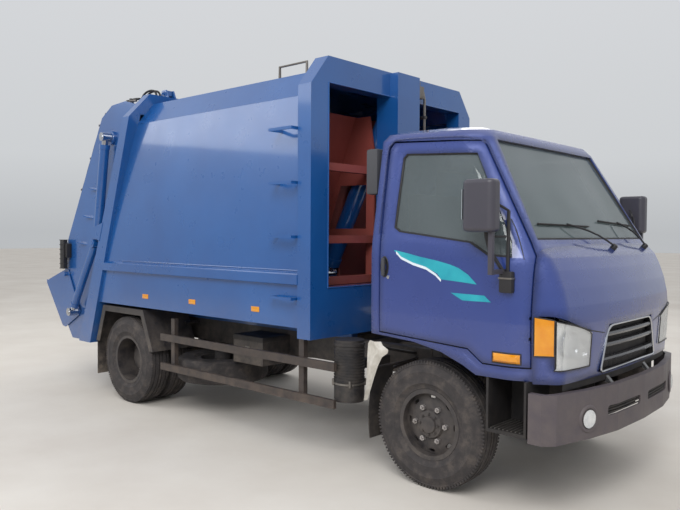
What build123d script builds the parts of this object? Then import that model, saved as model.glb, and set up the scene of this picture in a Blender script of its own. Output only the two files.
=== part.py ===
# Rear-loading garbage truck with a tilting cab, a compactor body and a lifting tailgate.
# +X points to the front of the truck, +Y to its left and +Z up; millimetres.
# The origin is on the road, under the middle of the truck's length and width.
import math
import os
from build123d import *

os.makedirs("parts", exist_ok=True)

# Overall size
WHEELBASE = 3375
FRONT_OVERHANG = 1000
REAR_OVERHANG = 1787
FRONT_AXLE_X = (WHEELBASE + FRONT_OVERHANG + REAR_OVERHANG) / 2 - FRONT_OVERHANG
REAR_AXLE_X = FRONT_AXLE_X - WHEELBASE


def ahead(distance):
    """X of a point that many millimetres ahead of the front axle."""
    return FRONT_AXLE_X + distance


def along(start, angle, distance):
    """A point in side view, distance away from start at angle degrees above +X."""
    return (start[0] + distance * math.cos(math.radians(angle)),
            start[1] + distance * math.sin(math.radians(angle)))


def turned(pivot, point, angle):
    """A point in side view after a positive turn about +Y through pivot."""
    c, s = math.cos(math.radians(angle)), math.sin(math.radians(angle))
    dx, dz = point[0] - pivot[0], point[1] - pivot[1]
    return (pivot[0] + dx * c + dz * s, pivot[1] - dx * s + dz * c)


def distance(a, b):
    return math.hypot(b[0] - a[0], b[1] - a[1])


def bearing(a, b):
    """Angle above +X, in degrees, of the line from a to b in side view."""
    return math.degrees(math.atan2(b[1] - a[1], b[0] - a[0]))


# Running clearances
SEAT_GAP = 0.3
PIN_GAP = 0.05
MOVE_GAP = 8
OPEN_PIN_GAP = 1.5

# Hydraulic cylinders
BARREL_FOOT = 30
BARREL_SHORT = 75

# Wheels
TYRE_RADIUS = 405
TYRE_WIDTH = 215
RIM_RADIUS = 210
FRONT_TYRE_Y = 834.5
REAR_OUTER_TYRE_Y = 888.5
TWIN_SPACING = 240
REAR_INNER_TYRE_Y = REAR_OUTER_TYRE_Y - TWIN_SPACING
STUB_RADIUS = 30
KINGPIN_Y = 690
KINGPIN_RADIUS = 17

# Ladder frame
RAIL_OUTER_Y = 425
RAIL_TOP_Z = 780
RAIL_HEIGHT = 200
RAIL_FLANGE = 70
RAIL_WALL = 8
RAIL_FRONT_X = ahead(850)
RAIL_REAR_X = ahead(-3960)
TOW_HOLE = (ahead(-3902), 680)
TOW_HOLE_RADIUS = 20
CROSSMEMBER_X = [ahead(740), ahead(-1000), ahead(-1600), ahead(-2300), ahead(-3000), ahead(-3800)]

# Springs and axles
SPRING_WIDTH = 70
SPRING_Y = 385
FRONT_SPRING_HALF = 560
REAR_SPRING_HALF = 640

# Cab
CAB_HALF_WIDTH = 1010
CAB_WALL = 40
CAB_FLOOR_Z = 985
CAB_FLOOR_THICKNESS = 30
CAB_REAR_X = ahead(-400)
SKIRT_WALL = 14
CAB_PIVOT = (ahead(895), 680)
CAB_PIVOT_Y = 310
CAB_PIVOT_RADIUS = 16
DOOR_FRONT_X = ahead(704)
DOOR_HINGE_X = ahead(690)
DOOR_HINGE_Y = 963
HINGE_HEIGHTS = (1022, 1136)
HINGE_PIN_RADIUS = 5
HINGE_PIN_LENGTH = 44
HINGE_BRACKET = 10
HINGE_SLACK = 3
HINGE_ARM = 12
HINGE_ROOT = 10
HINGE_TIP = 3
HINGE_SLOT_REACH = 9
BULKHEAD_HALF = 850
DOOR_THICKNESS = 48
DOOR_GAP = 8
GLASS_INSET = 14
GLASS_THICKNESS = 5

# Compactor body
BODY_HALF_WIDTH = 1002
BODY_WALL = 6
BODY_BOTTOM_Z = 916
FLOOR_TOP_Z = 942
PORTAL_FRONT_X = ahead(-939)
PORTAL_DEPTH = 130
PORTAL_REAR_X = PORTAL_FRONT_X - PORTAL_DEPTH
PORTAL_PROUD = 28
PORTAL_HALF_WIDTH = BODY_HALF_WIDTH + PORTAL_PROUD
PORTAL_BOTTOM_Z = 847
PORTAL_TOP_Z = 2868
PORTAL_SHOULDER_Z = PORTAL_TOP_Z - 218
PORTAL_TOP_HALF = PORTAL_HALF_WIDTH - 175
PORTAL_POST = 180
PORTAL_SILL_Z = 1207
PORTAL_LINTEL_Z = PORTAL_TOP_Z - 188
COLUMN_HALF = 144
COLUMN_DEPTH = 80
COLUMN_TOP_Z = PORTAL_TOP_Z - 8
BAND_LOW = (BODY_HALF_WIDTH - 77, PORTAL_TOP_Z - 268)
BAND_HIGH = (BODY_HALF_WIDTH - 202, PORTAL_TOP_Z - 73)
ROOF_CROWN_Z = PORTAL_TOP_Z - 43
SIDE_MID = (BODY_HALF_WIDTH - 14, 1800)
RAIL_LOW_Z = 1232
RAIL_HIGH_Z = 1325
RAIL_PROUD = 33

# Rear frame and the plane on which the tailgate closes
FRAME_TOP_Z = PORTAL_TOP_Z + 10
MATE_TOP = (ahead(-3298), FRAME_TOP_Z)
MATE_SLOPE = math.degrees(math.atan(0.3847))
POST_FOOT_Z = 500
POST_FRONT_TOP = (ahead(-3198), FRAME_TOP_Z)
POST_FRONT_FOOT = (ahead(-3995), 500)
POST_INNER_Y = BODY_HALF_WIDTH - 87
REAR_LINTEL_Z = FRAME_TOP_Z - 188


def mate_x(z, gap=0):
    """X of the closing plane at height z, moved rearwards by gap."""
    return MATE_TOP[0] - (MATE_TOP[1] - z) * math.tan(math.radians(MATE_SLOPE)) - gap


def post_front_x(z):
    """X of the rear frame's front edge at height z."""
    share = (POST_FRONT_TOP[1] - z) / (POST_FRONT_TOP[1] - POST_FRONT_FOOT[1])
    return POST_FRONT_TOP[0] + share * (POST_FRONT_FOOT[0] - POST_FRONT_TOP[0])


# Tailgate
TAILGATE_SIDE_Y = BODY_HALF_WIDTH - 117
TAILGATE_WALL = 8
TAILGATE_PIVOT = (ahead(-3285), FRAME_TOP_Z + 47)
TAILGATE_ARM_Y = 600
TAILGATE_PIN_RADIUS = 20
TAILGATE_GAP = 6
LIFT_FOOT = (ahead(-3931), 1600)
LIFT_EYE = (ahead(-3785), 2520)
SIDE_CYLINDER_Y = TAILGATE_SIDE_Y + 87
SIDE_EYE_WIDTH = 90
SIDE_EAR = 56
SIDE_PIN_RADIUS = 22
SIDE_BOSS_Y = SIDE_CYLINDER_Y - SIDE_EYE_WIDTH / 2 - 5

# Packer carriage and sweep blade
TRACK_ANGLE = 239.85
BLADE_PIVOT = (ahead(-4149), 1650)
CARRIAGE_TRAVEL = 500
CARRIAGE_LENGTH = 830
BLADE_LENGTH = 610
BLADE_OPEN = 78
BLADE_HALF_WIDTH = TAILGATE_SIDE_Y - 17
HOPPER_RADIUS = 665
SLIDE_CYLINDER_Y = 620
SWEEP_CYLINDER_Y = 330
SWEEP_EYE_WIDTH = 88
SWEEP_EAR = 60
SWEEP_EAR_HALF = 8
SWEEP_PIN_RADIUS = 20
SWEEP_EYE = (BLADE_PIVOT[0] - 170, BLADE_PIVOT[1] - 100)

# Loading tray
TRAY_PIVOT = (ahead(-4700), 1150)
TRAY_LIP = (ahead(-5154), 1037)
TRAY_FOOT = (ahead(-4795), 590)
TRAY_EYE = (ahead(-4462), 768)
TRAY_CYLINDER_TOP = (ahead(-3985), 1489)
TRAY_ARM_Y = TAILGATE_SIDE_Y + 15
TRAY_PLATE = 10

# Ejector
EJECTOR_FACE_TOP_X = ahead(-1330)
EJECTOR_BOTTOM_Z = FLOOR_TOP_Z + 10
RAM_PIVOT = (ahead(-1000), PORTAL_TOP_Z - 148)
RAM_EYE = (ahead(-1740), 1250)
RAM_EYE_WIDTH = 140
RAM_LUG_Y = 95
RAM_LUG_HALF = 8


def tube_between(start, end, y, radius):
    """A round bar from start to end, two points in side view, at side offset y."""
    length = distance(start, end)
    axis = Plane(origin=(start[0], y, start[1]), z_dir=(end[0] - start[0], 0, end[1] - start[1]))
    with BuildPart() as bar:
        with BuildSketch(axis):
            Circle(radius)
        extrude(amount=length)
    return bar.part


def barrel_solid(start, end, y, radius, rod_radius, eye_radius, pin_radius, eye_width):
    """A cylinder barrel: eye at start, hollow tube to end, gland bored for its rod."""
    length = distance(start, end)
    axis = Plane(origin=(start[0], y, start[1]), z_dir=(end[0] - start[0], 0, end[1] - start[1]))
    bore_start = eye_radius + BARREL_FOOT
    with BuildPart() as barrel:
        with BuildSketch(axis.offset(eye_radius * 0.8)):
            Circle(radius)
        extrude(amount=length - eye_radius * 0.8)
        with BuildSketch(axis.offset(length - radius)):
            Circle(radius * 1.12)
        extrude(amount=radius)
        with BuildSketch(Plane.XZ.offset(-y)):
            with Locations(start):
                Circle(eye_radius)
        extrude(amount=eye_width / 2, both=True)
        with BuildSketch(Plane.XZ.offset(-y)):
            with Locations(start):
                Circle(pin_radius + PIN_GAP)
        extrude(amount=eye_width, both=True, mode=Mode.SUBTRACT)
        with BuildSketch(axis.offset(bore_start)):
            Circle(radius * 0.82)
        extrude(amount=length - bore_start - radius, mode=Mode.SUBTRACT)
        with BuildSketch(axis.offset(length - radius * 1.5)):
            Circle(rod_radius + PIN_GAP)
        extrude(amount=radius * 2, mode=Mode.SUBTRACT)
    return barrel.part


def rod_solid(inner, eye, y, rod_radius, eye_radius, pin_radius, eye_width, pin_low, pin_high):
    """A cylinder rod with its eye and the pin in it, which reaches from pin_low to pin_high beside y."""
    with BuildPart() as rod:
        add(tube_between(inner, eye, y, rod_radius))
        with BuildSketch(Plane.XZ.offset(-y)):
            with Locations(eye):
                Circle(eye_radius)
        extrude(amount=eye_width / 2, both=True)
        with BuildSketch(Plane.XZ.offset(-y - pin_high)):
            with Locations(eye):
                Circle(pin_radius)
        extrude(amount=pin_high - pin_low)
    return rod.part


# Ladder frame: two channels facing inwards, tied by cross tubes
with BuildPart() as chassis_frame:
    for side in (-1, 1):
        with BuildSketch(Plane.YZ.offset(RAIL_REAR_X)):
            with Locations((side * (RAIL_OUTER_Y - RAIL_FLANGE / 2), RAIL_TOP_Z - RAIL_HEIGHT / 2)):
                Rectangle(RAIL_FLANGE, RAIL_HEIGHT)
            with Locations((side * (RAIL_OUTER_Y - RAIL_FLANGE / 2 - RAIL_WALL),
                            RAIL_TOP_Z - RAIL_HEIGHT / 2)):
                Rectangle(RAIL_FLANGE, RAIL_HEIGHT - 2 * RAIL_WALL, mode=Mode.SUBTRACT)
        extrude(amount=RAIL_FRONT_X - RAIL_REAR_X)
    for x in CROSSMEMBER_X:
        with BuildSketch(Plane.XZ):
            with Locations((x, RAIL_TOP_Z - 55)):
                Rectangle(60, 80)
        extrude(amount=RAIL_OUTER_Y - RAIL_WALL / 2, both=True)
    # Towing pin holes through the webs at the rear ends
    with BuildSketch(Plane.XZ.offset(-RAIL_OUTER_Y)):
        with Locations(TOW_HOLE):
            Circle(TOW_HOLE_RADIUS)
    extrude(amount=2 * RAIL_OUTER_Y, mode=Mode.SUBTRACT)
    # Ears at the rail ends that carry the cab's tilt pin
    for side in (-1, 1):
        for ear in (-34, 34):
            with BuildSketch(Plane.XZ.offset(-side * CAB_PIVOT_Y - ear - 6)):
                with BuildLine():
                    Polyline((RAIL_FRONT_X - 120, RAIL_TOP_Z - 20), (CAB_PIVOT[0], CAB_PIVOT[1] + 34),
                             (CAB_PIVOT[0] + 34, CAB_PIVOT[1]), (CAB_PIVOT[0], CAB_PIVOT[1] - 34),
                             (RAIL_FRONT_X - 120, RAIL_TOP_Z - RAIL_HEIGHT + 20), close=True)
                make_face()
                with Locations(CAB_PIVOT):
                    Circle(CAB_PIVOT_RADIUS + PIN_GAP, mode=Mode.SUBTRACT)
            extrude(amount=12)
chassis_frame.part.label = "chassis_frame"
export_step(chassis_frame.part, "parts/chassis_frame.step")


def turned_ring(centre_x, profile):
    """A ring turned about a wheel's axle from (radius, y) points."""
    with BuildPart() as ring:
        with BuildSketch(Plane.XY.offset(TYRE_RADIUS)):
            with BuildLine():
                Polyline(*[(centre_x + r, y) for r, y in profile], close=True)
            make_face()
        revolve(axis=Axis((centre_x, 0, TYRE_RADIUS), (0, 1, 0)))
    return ring.part


def tyre_profile(y):
    """Radius and side offset of a tyre's outline about its middle plane at y."""
    half = TYRE_WIDTH / 2
    outer = [(RIM_RADIUS, 78), (RIM_RADIUS + 18, 81), (RIM_RADIUS + 45, half - 8), (RIM_RADIUS + 110, half),
             (TYRE_RADIUS - 28, half - 8), (TYRE_RADIUS - 6, half - 26), (TYRE_RADIUS, half - 60)]
    return [(r, y + d) for r, d in outer] + [(r, y - d) for r, d in reversed(outer)]


# Front axle: a dropped beam with a boss for each kingpin
with BuildPart() as front_axle:
    with BuildSketch(Plane.YZ.offset(FRONT_AXLE_X)):
        with BuildLine():
            Polyline((-KINGPIN_Y, 362), (-500, 320), (500, 320), (KINGPIN_Y, 362), (KINGPIN_Y, 446),
                     (500, 410), (-500, 410), (-KINGPIN_Y, 446), close=True)
        make_face()
    extrude(amount=34, both=True)
    for side in (-1, 1):
        with BuildSketch(Plane.XY.offset(355)):
            with Locations((FRONT_AXLE_X, side * KINGPIN_Y)):
                Circle(45)
        extrude(amount=100)
        with BuildSketch(Plane.XY.offset(340)):
            with Locations((FRONT_AXLE_X, side * KINGPIN_Y)):
                Circle(KINGPIN_RADIUS + PIN_GAP)
        extrude(amount=130, mode=Mode.SUBTRACT)
front_axle.part.label = "front_axle"
export_step(front_axle.part, "parts/front_axle.step")

# Steering knuckles: a fork on the kingpin and the stub axle of the wheel
for side, name in ((-1, "right"), (1, "left")):
    with BuildPart() as knuckle:
        for z in (318, 463):
            with BuildSketch(Plane.XY.offset(z)):
                with BuildLine():
                    Polyline((FRONT_AXLE_X - 40, side * (KINGPIN_Y - 30)),
                             (FRONT_AXLE_X + 40, side * (KINGPIN_Y - 30)),
                             (FRONT_AXLE_X + 40, side * (KINGPIN_Y + 78)),
                             (FRONT_AXLE_X - 40, side * (KINGPIN_Y + 78)),
                             close=True)
                make_face()
            extrude(amount=29)
        with BuildSketch(Plane.XY.offset(318)):
            with Locations((FRONT_AXLE_X, side * (KINGPIN_Y + 68))):
                Rectangle(80, 20)
        extrude(amount=174)
        with BuildSketch(Plane.XY.offset(310)):
            with Locations((FRONT_AXLE_X, side * KINGPIN_Y)):
                Circle(KINGPIN_RADIUS)
        extrude(amount=190)
        with BuildSketch(Plane.XZ.offset(-side * (KINGPIN_Y + 70))):
            with Locations((FRONT_AXLE_X, TYRE_RADIUS)):
                Circle(STUB_RADIUS)
        extrude(amount=-side * 128)
    knuckle.part.label = f"knuckle_{name}"
    export_step(knuckle.part, f"parts/knuckle_{name}.step")

# Front wheels: tyre and outset disc wheel
for side, name in ((-1, "right"), (1, "left")):
    with BuildPart() as front_tyre:
        add(turned_ring(FRONT_AXLE_X, tyre_profile(side * FRONT_TYRE_Y)))
    front_tyre.part.label = f"front_tyre_{name}"
    export_step(front_tyre.part, f"parts/front_tyre_{name}.step")

    rim_outer = RIM_RADIUS - SEAT_GAP
    hub_bore = STUB_RADIUS + PIN_GAP
    profile = [(rim_outer, -78), (rim_outer, 78), (rim_outer + 14, 84), (rim_outer + 14, 90),
               (rim_outer - 14, 90),
               (rim_outer - 14, 40), (150, 52), (95, 60), (85, 78), (55, 84), (50, 96), (20, 98), (0.1, 98),
               (0.1, 60), (hub_bore, 60), (hub_bore, -25), (70, -25), (80, 20), (95, 46), (148, 38),
               (rim_outer - 14, 24), (rim_outer - 14, -90), (rim_outer + 14, -90), (rim_outer + 14, -84)]
    with BuildPart() as front_rim:
        add(turned_ring(FRONT_AXLE_X, [(r, side * (FRONT_TYRE_Y + d)) for r, d in profile]))
        with BuildSketch(Plane.XZ):
            with Locations((FRONT_AXLE_X, TYRE_RADIUS)):
                with PolarLocations(170, 8):
                    SlotOverall(44, 20, rotation=90)
        extrude(amount=-side * 1000, mode=Mode.SUBTRACT)
    front_rim.part.label = f"front_rim_{name}"
    export_step(front_rim.part, f"parts/front_rim_{name}.step")

# Rear axle: banjo housing, spring pads and stub axles
with BuildPart() as rear_axle:
    with BuildSketch(Plane.XZ.offset(-REAR_INNER_TYRE_Y - 60)):
        with Locations((REAR_AXLE_X, TYRE_RADIUS)):
            Circle(STUB_RADIUS + 10)
    extrude(amount=2 * REAR_INNER_TYRE_Y + 120)
    with BuildSketch(Plane.XZ.offset(-520)):
        with Locations((REAR_AXLE_X, TYRE_RADIUS)):
            Circle(62)
    extrude(amount=1040)
    with BuildSketch(Plane.XY.offset(TYRE_RADIUS)):
        with BuildLine():
            Polyline((REAR_AXLE_X, -190), (REAR_AXLE_X + 60, -180), (REAR_AXLE_X + 170, -70),
                     (REAR_AXLE_X + 170, 70),
                     (REAR_AXLE_X + 60, 180), (REAR_AXLE_X, 190), close=True)
        make_face()
    revolve(axis=Axis((REAR_AXLE_X, 0, TYRE_RADIUS), (0, 1, 0)))
rear_axle.part.label = "rear_axle"
export_step(rear_axle.part, "parts/rear_axle.step")

# Rear twin wheels: two tyres and two rims on one hub each side
for side, name in ((-1, "right"), (1, "left")):
    with BuildPart() as rear_tyres:
        for y in (REAR_INNER_TYRE_Y, REAR_OUTER_TYRE_Y):
            add(turned_ring(REAR_AXLE_X, tyre_profile(side * y)))
    rear_tyres.part.label = f"rear_tyres_{name}"
    export_step(rear_tyres.part, f"parts/rear_tyres_{name}.step")

    rim_outer = RIM_RADIUS - SEAT_GAP
    rear_bore = STUB_RADIUS + 10 + PIN_GAP
    outer_y = REAR_OUTER_TYRE_Y
    inner_y = REAR_INNER_TYRE_Y
    middle = (outer_y + inner_y) / 2
    outer_half = [(rim_outer, outer_y - 78), (rim_outer, outer_y + 78), (rim_outer + 14, outer_y + 84),
                  (rim_outer + 14, outer_y + 90), (rim_outer - 12, outer_y + 90),
                  (rim_outer - 12, middle + 28),
                  (150, middle + 12), (110, middle + 12), (100, middle + 90), (60, middle + 96),
                  (0.1, middle + 96),
                  (0.1, inner_y + 70), (rear_bore, inner_y + 70), (rear_bore, inner_y - 20),
                  (80, inner_y - 20)]
    inner_half = [(100, middle - 12), (150, middle - 12), (rim_outer - 12, middle - 28),
                  (rim_outer - 12, inner_y - 90),
                  (rim_outer + 14, inner_y - 90), (rim_outer + 14, inner_y - 84), (rim_outer, inner_y - 78),
                  (rim_outer, inner_y + 78), (rim_outer - 6, middle)]
    with BuildPart() as rear_rims:
        add(turned_ring(REAR_AXLE_X, [(r, side * y) for r, y in outer_half + inner_half]))
    rear_rims.part.label = f"rear_rims_{name}"
    export_step(rear_rims.part, f"parts/rear_rims_{name}.step")

# Leaf springs: packs bowed over each axle, with their hangers
with BuildPart() as leaf_springs:
    for axle_x, half_span, seat_z in ((FRONT_AXLE_X, FRONT_SPRING_HALF, 410),
                                      (REAR_AXLE_X, REAR_SPRING_HALF, 467)):
        for side in (-1, 1):
            with BuildSketch(Plane.XZ.offset(-side * SPRING_Y)):
                with BuildLine():
                    Polyline((axle_x - 80, seat_z + SEAT_GAP), (axle_x + 80, seat_z + SEAT_GAP),
                             (axle_x + half_span * 0.5, seat_z + 42), (axle_x + half_span, seat_z + 62),
                             (axle_x + half_span, RAIL_TOP_Z - RAIL_HEIGHT - SEAT_GAP),
                             (axle_x + half_span - 60, RAIL_TOP_Z - RAIL_HEIGHT - SEAT_GAP),
                             (axle_x + half_span - 60, seat_z + 76), (axle_x + 60, seat_z + 52),
                             (axle_x - 60, seat_z + 52), (axle_x - half_span + 60, seat_z + 76),
                             (axle_x - half_span + 60, RAIL_TOP_Z - RAIL_HEIGHT - SEAT_GAP),
                             (axle_x - half_span, RAIL_TOP_Z - RAIL_HEIGHT - SEAT_GAP),
                             (axle_x - half_span, seat_z + 62), (axle_x - half_span * 0.5, seat_z + 42),
                             close=True)
                make_face()
            extrude(amount=SPRING_WIDTH / 2, both=True)
leaf_springs.part.label = "leaf_springs"
export_step(leaf_springs.part, "parts/leaf_springs.step")

# Engine: one block at its real place and size
with BuildPart() as engine_block:
    with BuildSketch(Plane.XY.offset(480)):
        with Locations((ahead(60), 0)):
            Rectangle(820, 520)
    extrude(amount=430)
    # Mounts out to the webs of the rails
    with BuildSketch(Plane.XY.offset(640)):
        with Locations((ahead(200), 0)):
            Rectangle(90, 2 * (RAIL_OUTER_Y - RAIL_WALL - SEAT_GAP))
    extrude(amount=60)
engine_block.part.label = "engine_block"
export_step(engine_block.part, "parts/engine_block.step")

# Gearbox and propeller shaft between the engine and the rear axle
with BuildPart() as driveline:
    add(tube_between((ahead(-350 - SEAT_GAP), 600), (ahead(-900), 600), 0, 130))
    add(tube_between((ahead(-880), 600), (REAR_AXLE_X + 170, TYRE_RADIUS + 13), 0, 45))
driveline.part.label = "driveline"
export_step(driveline.part, "parts/driveline.step")

# Fuel tank on the left rail
with BuildPart() as fuel_tank:
    with BuildSketch(Plane.YZ.offset(ahead(-2000))):
        with Locations((RAIL_OUTER_Y + 250, 560)):
            RectangleRounded(420, 440, 90)
    extrude(amount=900)
    for x in (ahead(-1800), ahead(-1350)):
        with BuildSketch(Plane.YZ.offset(x)):
            with Locations((RAIL_OUTER_Y + 20 + SEAT_GAP, 600)):
                Rectangle(40, 260)
        extrude(amount=50)
fuel_tank.part.label = "fuel_tank"
export_step(fuel_tank.part, "parts/fuel_tank.step")

# Air cleaner canister behind the right front wheel, on a bracket from the rail
with BuildPart() as air_cleaner:
    with BuildSketch(Plane.XY.offset(430)):
        with Locations((ahead(-727), -850)):
            Circle(105)
    extrude(amount=430)
    with BuildSketch(Plane.XY.offset(640)):
        with Locations((ahead(-727), -(850 + RAIL_OUTER_Y) / 2)):
            Rectangle(60, 850 - RAIL_OUTER_Y - 2 * SEAT_GAP)
    extrude(amount=60)
air_cleaner.part.label = "air_cleaner"
export_step(air_cleaner.part, "parts/air_cleaner.step")

# Battery and tool box on the right rail
with BuildPart() as battery_box:
    with BuildSketch(Plane.XY.offset(510)):
        with Locations((ahead(-1960), -(RAIL_OUTER_Y + SEAT_GAP + 150))):
            Rectangle(370, 300)
    extrude(amount=230)
battery_box.part.label = "battery_box"
export_step(battery_box.part, "parts/battery_box.step")

# Spare wheel, flat under the right rail on its carrier
SPARE_CENTRE = (ahead(-2530), -530)
SPARE_Z = 395
with BuildPart() as spare_wheel:
    with BuildSketch(Plane.XZ.offset(-SPARE_CENTRE[1])):
        with BuildLine():
            Polyline(*[(SPARE_CENTRE[0] + r, SPARE_Z + d) for r, d in tyre_profile(0)], close=True)
        make_face()
    revolve(axis=Axis((SPARE_CENTRE[0], SPARE_CENTRE[1], 0), (0, 0, 1)))
    with BuildSketch(Plane.XY.offset(SPARE_Z - 85)):
        with Locations(SPARE_CENTRE):
            Circle(RIM_RADIUS - SEAT_GAP)
            Circle(RIM_RADIUS - 12, mode=Mode.SUBTRACT)
    extrude(amount=170)
    with BuildSketch(Plane.XY.offset(SPARE_Z + 25)):
        with Locations(SPARE_CENTRE):
            Circle(RIM_RADIUS - 6)
    extrude(amount=12)
    with BuildSketch(Plane.XY.offset(SPARE_Z + 25)):
        with Locations(SPARE_CENTRE):
            Circle(75)
    extrude(amount=110)
    # Arm from the hub across to the foot of the rail
    with BuildSketch(Plane.XY.offset(SPARE_Z + 110)):
        with Locations((SPARE_CENTRE[0], (SPARE_CENTRE[1] - RAIL_OUTER_Y + 70) / 2)):
            Rectangle(90, -SPARE_CENTRE[1] - RAIL_OUTER_Y + 130)
    extrude(amount=RAIL_TOP_Z - RAIL_HEIGHT - SEAT_GAP - SPARE_Z - 110)
spare_wheel.part.label = "spare_wheel"
export_step(spare_wheel.part, "parts/spare_wheel.step")

# Side guards: two rails and two posts each side, bolted to the rails by outriggers
GUARD_REAR_X = ahead(-2821)
GUARD_FRONT_X = ahead(-739)
GUARD_Y = BODY_HALF_WIDTH - 17
with BuildPart() as side_guards:
    for side in (-1, 1):
        for z in (418, 677):
            with BuildSketch(Plane.YZ.offset(GUARD_REAR_X)):
                with Locations((side * GUARD_Y, z)):
                    Rectangle(28, 60)
            extrude(amount=GUARD_FRONT_X - GUARD_REAR_X)
        for x in (ahead(-2673), ahead(-1085)):
            with BuildSketch(Plane.XY.offset(388)):
                with Locations((x, side * (GUARD_Y - 34))):
                    Rectangle(50, 40)
            extrude(amount=PORTAL_BOTTOM_Z - 388 - SEAT_GAP)
side_guards.part.label = "side_guards"
export_step(side_guards.part, "parts/side_guards.step")

# Rear mudguards: folded plates over the twin wheels
FENDER_Y = BODY_HALF_WIDTH - 2
FENDER = [(ahead(-2940), 525), (ahead(-3100), 890), (ahead(-3790), 890), (ahead(-3925), 530)]
with BuildPart() as rear_fenders:
    for side in (-1, 1):
        with BuildSketch(Plane.XZ.offset(-side * FENDER_Y)):
            with BuildLine():
                Polyline(FENDER[0], FENDER[1], FENDER[2], FENDER[3], (FENDER[3][0] + 8, FENDER[3][1]),
                         (FENDER[2][0] + 6, FENDER[2][1] - 8), (FENDER[1][0] - 6, FENDER[1][1] - 8),
                         (FENDER[0][0] - 8, FENDER[0][1]), close=True)
            make_face()
        extrude(amount=side * 480)
        with BuildSketch(Plane.XZ.offset(-side * FENDER_Y)):
            with BuildLine():
                Polyline(FENDER[0], FENDER[1], FENDER[2], FENDER[3], (FENDER[3][0] + 60, FENDER[3][1]),
                         (FENDER[2][0] + 36, FENDER[2][1] - 55), (FENDER[1][0] - 36, FENDER[1][1] - 55),
                         (FENDER[0][0] - 60, FENDER[0][1]), close=True)
            make_face()
        extrude(amount=side * 8)
        with BuildSketch(Plane.XY.offset(200)):
            with Locations((FENDER[3][0] + 4, side * 768)):
                Rectangle(8, 440)
        extrude(amount=FENDER[3][1] - 200)
        # Stays from the frame rail to both slopes of the plate
        with BuildSketch(Plane.XZ.offset(-side * (RAIL_OUTER_Y + SEAT_GAP))):
            with Locations((ahead(-3036), 740), (ahead(-3844), 740)):
                Circle(18)
        extrude(amount=-side * 160)
rear_fenders.part.label = "rear_fenders"
export_step(rear_fenders.part, "parts/rear_fenders.step")

# Front bumper: moulded beam across the front with wrapped corners, open at the back
BUMPER_LOW_Z = 452
BUMPER_TOP_Z = 730
BUMPER_HALF = 1015
BUMPER_REAR_X = ahead(722)
BUMPER_WALL = 12
BUMPER_LIP = 40


def bumper_outline(inset):
    """Plan outline of the bumper, moved in by inset."""
    corner = inset * 0.8
    return [(BUMPER_REAR_X, BUMPER_HALF - inset), (ahead(800), BUMPER_HALF - inset),
            (ahead(862) - corner, 958 - corner), (ahead(903) - inset, 800), (ahead(935) - inset, 690),
            (ahead(985) - inset, 400), (ahead(1000) - inset, 0)]


with BuildPart() as front_bumper:
    for inset, low, high, mode in ((0, BUMPER_LOW_Z, BUMPER_TOP_Z, Mode.ADD),
                                   (BUMPER_WALL, BUMPER_LOW_Z + BUMPER_WALL, BUMPER_TOP_Z + 1,
                                    Mode.SUBTRACT)):
        points = bumper_outline(inset)
        with BuildSketch(Plane.XY.offset(low)):
            with BuildLine():
                Polyline(*[(x, -y) for x, y in points], *reversed(points[:-1]), close=True)
            make_face()
        extrude(amount=high - low, mode=mode)
    # Upper lip
    with BuildSketch(Plane.XY.offset(BUMPER_TOP_Z - BUMPER_WALL)):
        points = bumper_outline(1)
        with BuildLine():
            Polyline(*[(x, -y) for x, y in points], *reversed(points[:-1]), close=True)
        make_face()
        points = bumper_outline(BUMPER_LIP)
        with BuildLine():
            Polyline(*[(x, -y) for x, y in points], *reversed(points[:-1]), close=True)
        make_face(mode=Mode.SUBTRACT)
    extrude(amount=BUMPER_WALL)
    # Space behind the beam for the frame and the tilt brackets
    with BuildSketch(Plane.XY.offset(BUMPER_LOW_Z - 1)):
        with Locations((ahead(760), 0)):
            Rectangle(400, 2 * (RAIL_OUTER_Y + 60))
    extrude(amount=BUMPER_WALL + 2, mode=Mode.SUBTRACT)
    # Intake slots
    for y in (-286, 286):
        with BuildSketch(Plane.YZ.offset(ahead(900))):
            with Locations((y, 584)):
                RectangleRounded(440, 56, 20)
        extrude(amount=300, mode=Mode.SUBTRACT)
    # Arms that carry the bumper from the rail ends
    for side in (-1, 1):
        with BuildSketch(Plane.YZ.offset(RAIL_FRONT_X + SEAT_GAP)):
            with Locations((side * (RAIL_OUTER_Y - 30), 640)):
                Rectangle(60, 60)
        extrude(amount=ahead(980) - RAIL_FRONT_X)
front_bumper.part.label = "front_bumper"
export_step(front_bumper.part, "parts/front_bumper.step")

# Cab form, section by section from the skirts to the roof.
# Columns: height, rear x, rear half width, side x, side half width,
# corner x, corner half width, centre x; the x values are ahead of the front axle.
CAB_SECTIONS = [
    (771, -400, 1000, 620, 1008, 846, 880, 900),
    (1100, -400, 1010, 640, 1012, 866, 870, 922),
    (1200, -400, 1010, 632, 1010, 856, 873, 912),
    (1300, -400, 1010, 622, 1008, 833, 875, 888),
    (1400, -400, 1010, 609, 1006, 797, 878, 848),
    (1470, -400, 1010, 600, 1004, 762, 880, 806),
    (1545, -398, 1006, 560, 998, 690, 885, 712),
    (2200, -372, 930, 180, 850, 322, 775, 330),
    (2248, -356, 880, 155, 800, 290, 705, 297),
    (2284, -300, 730, 0, 690, 165, 590, 175),
]
ROOF_SECTIONS = 3
CORNER_RADIUS = 105
SIDE_RADIUS = 240


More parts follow.
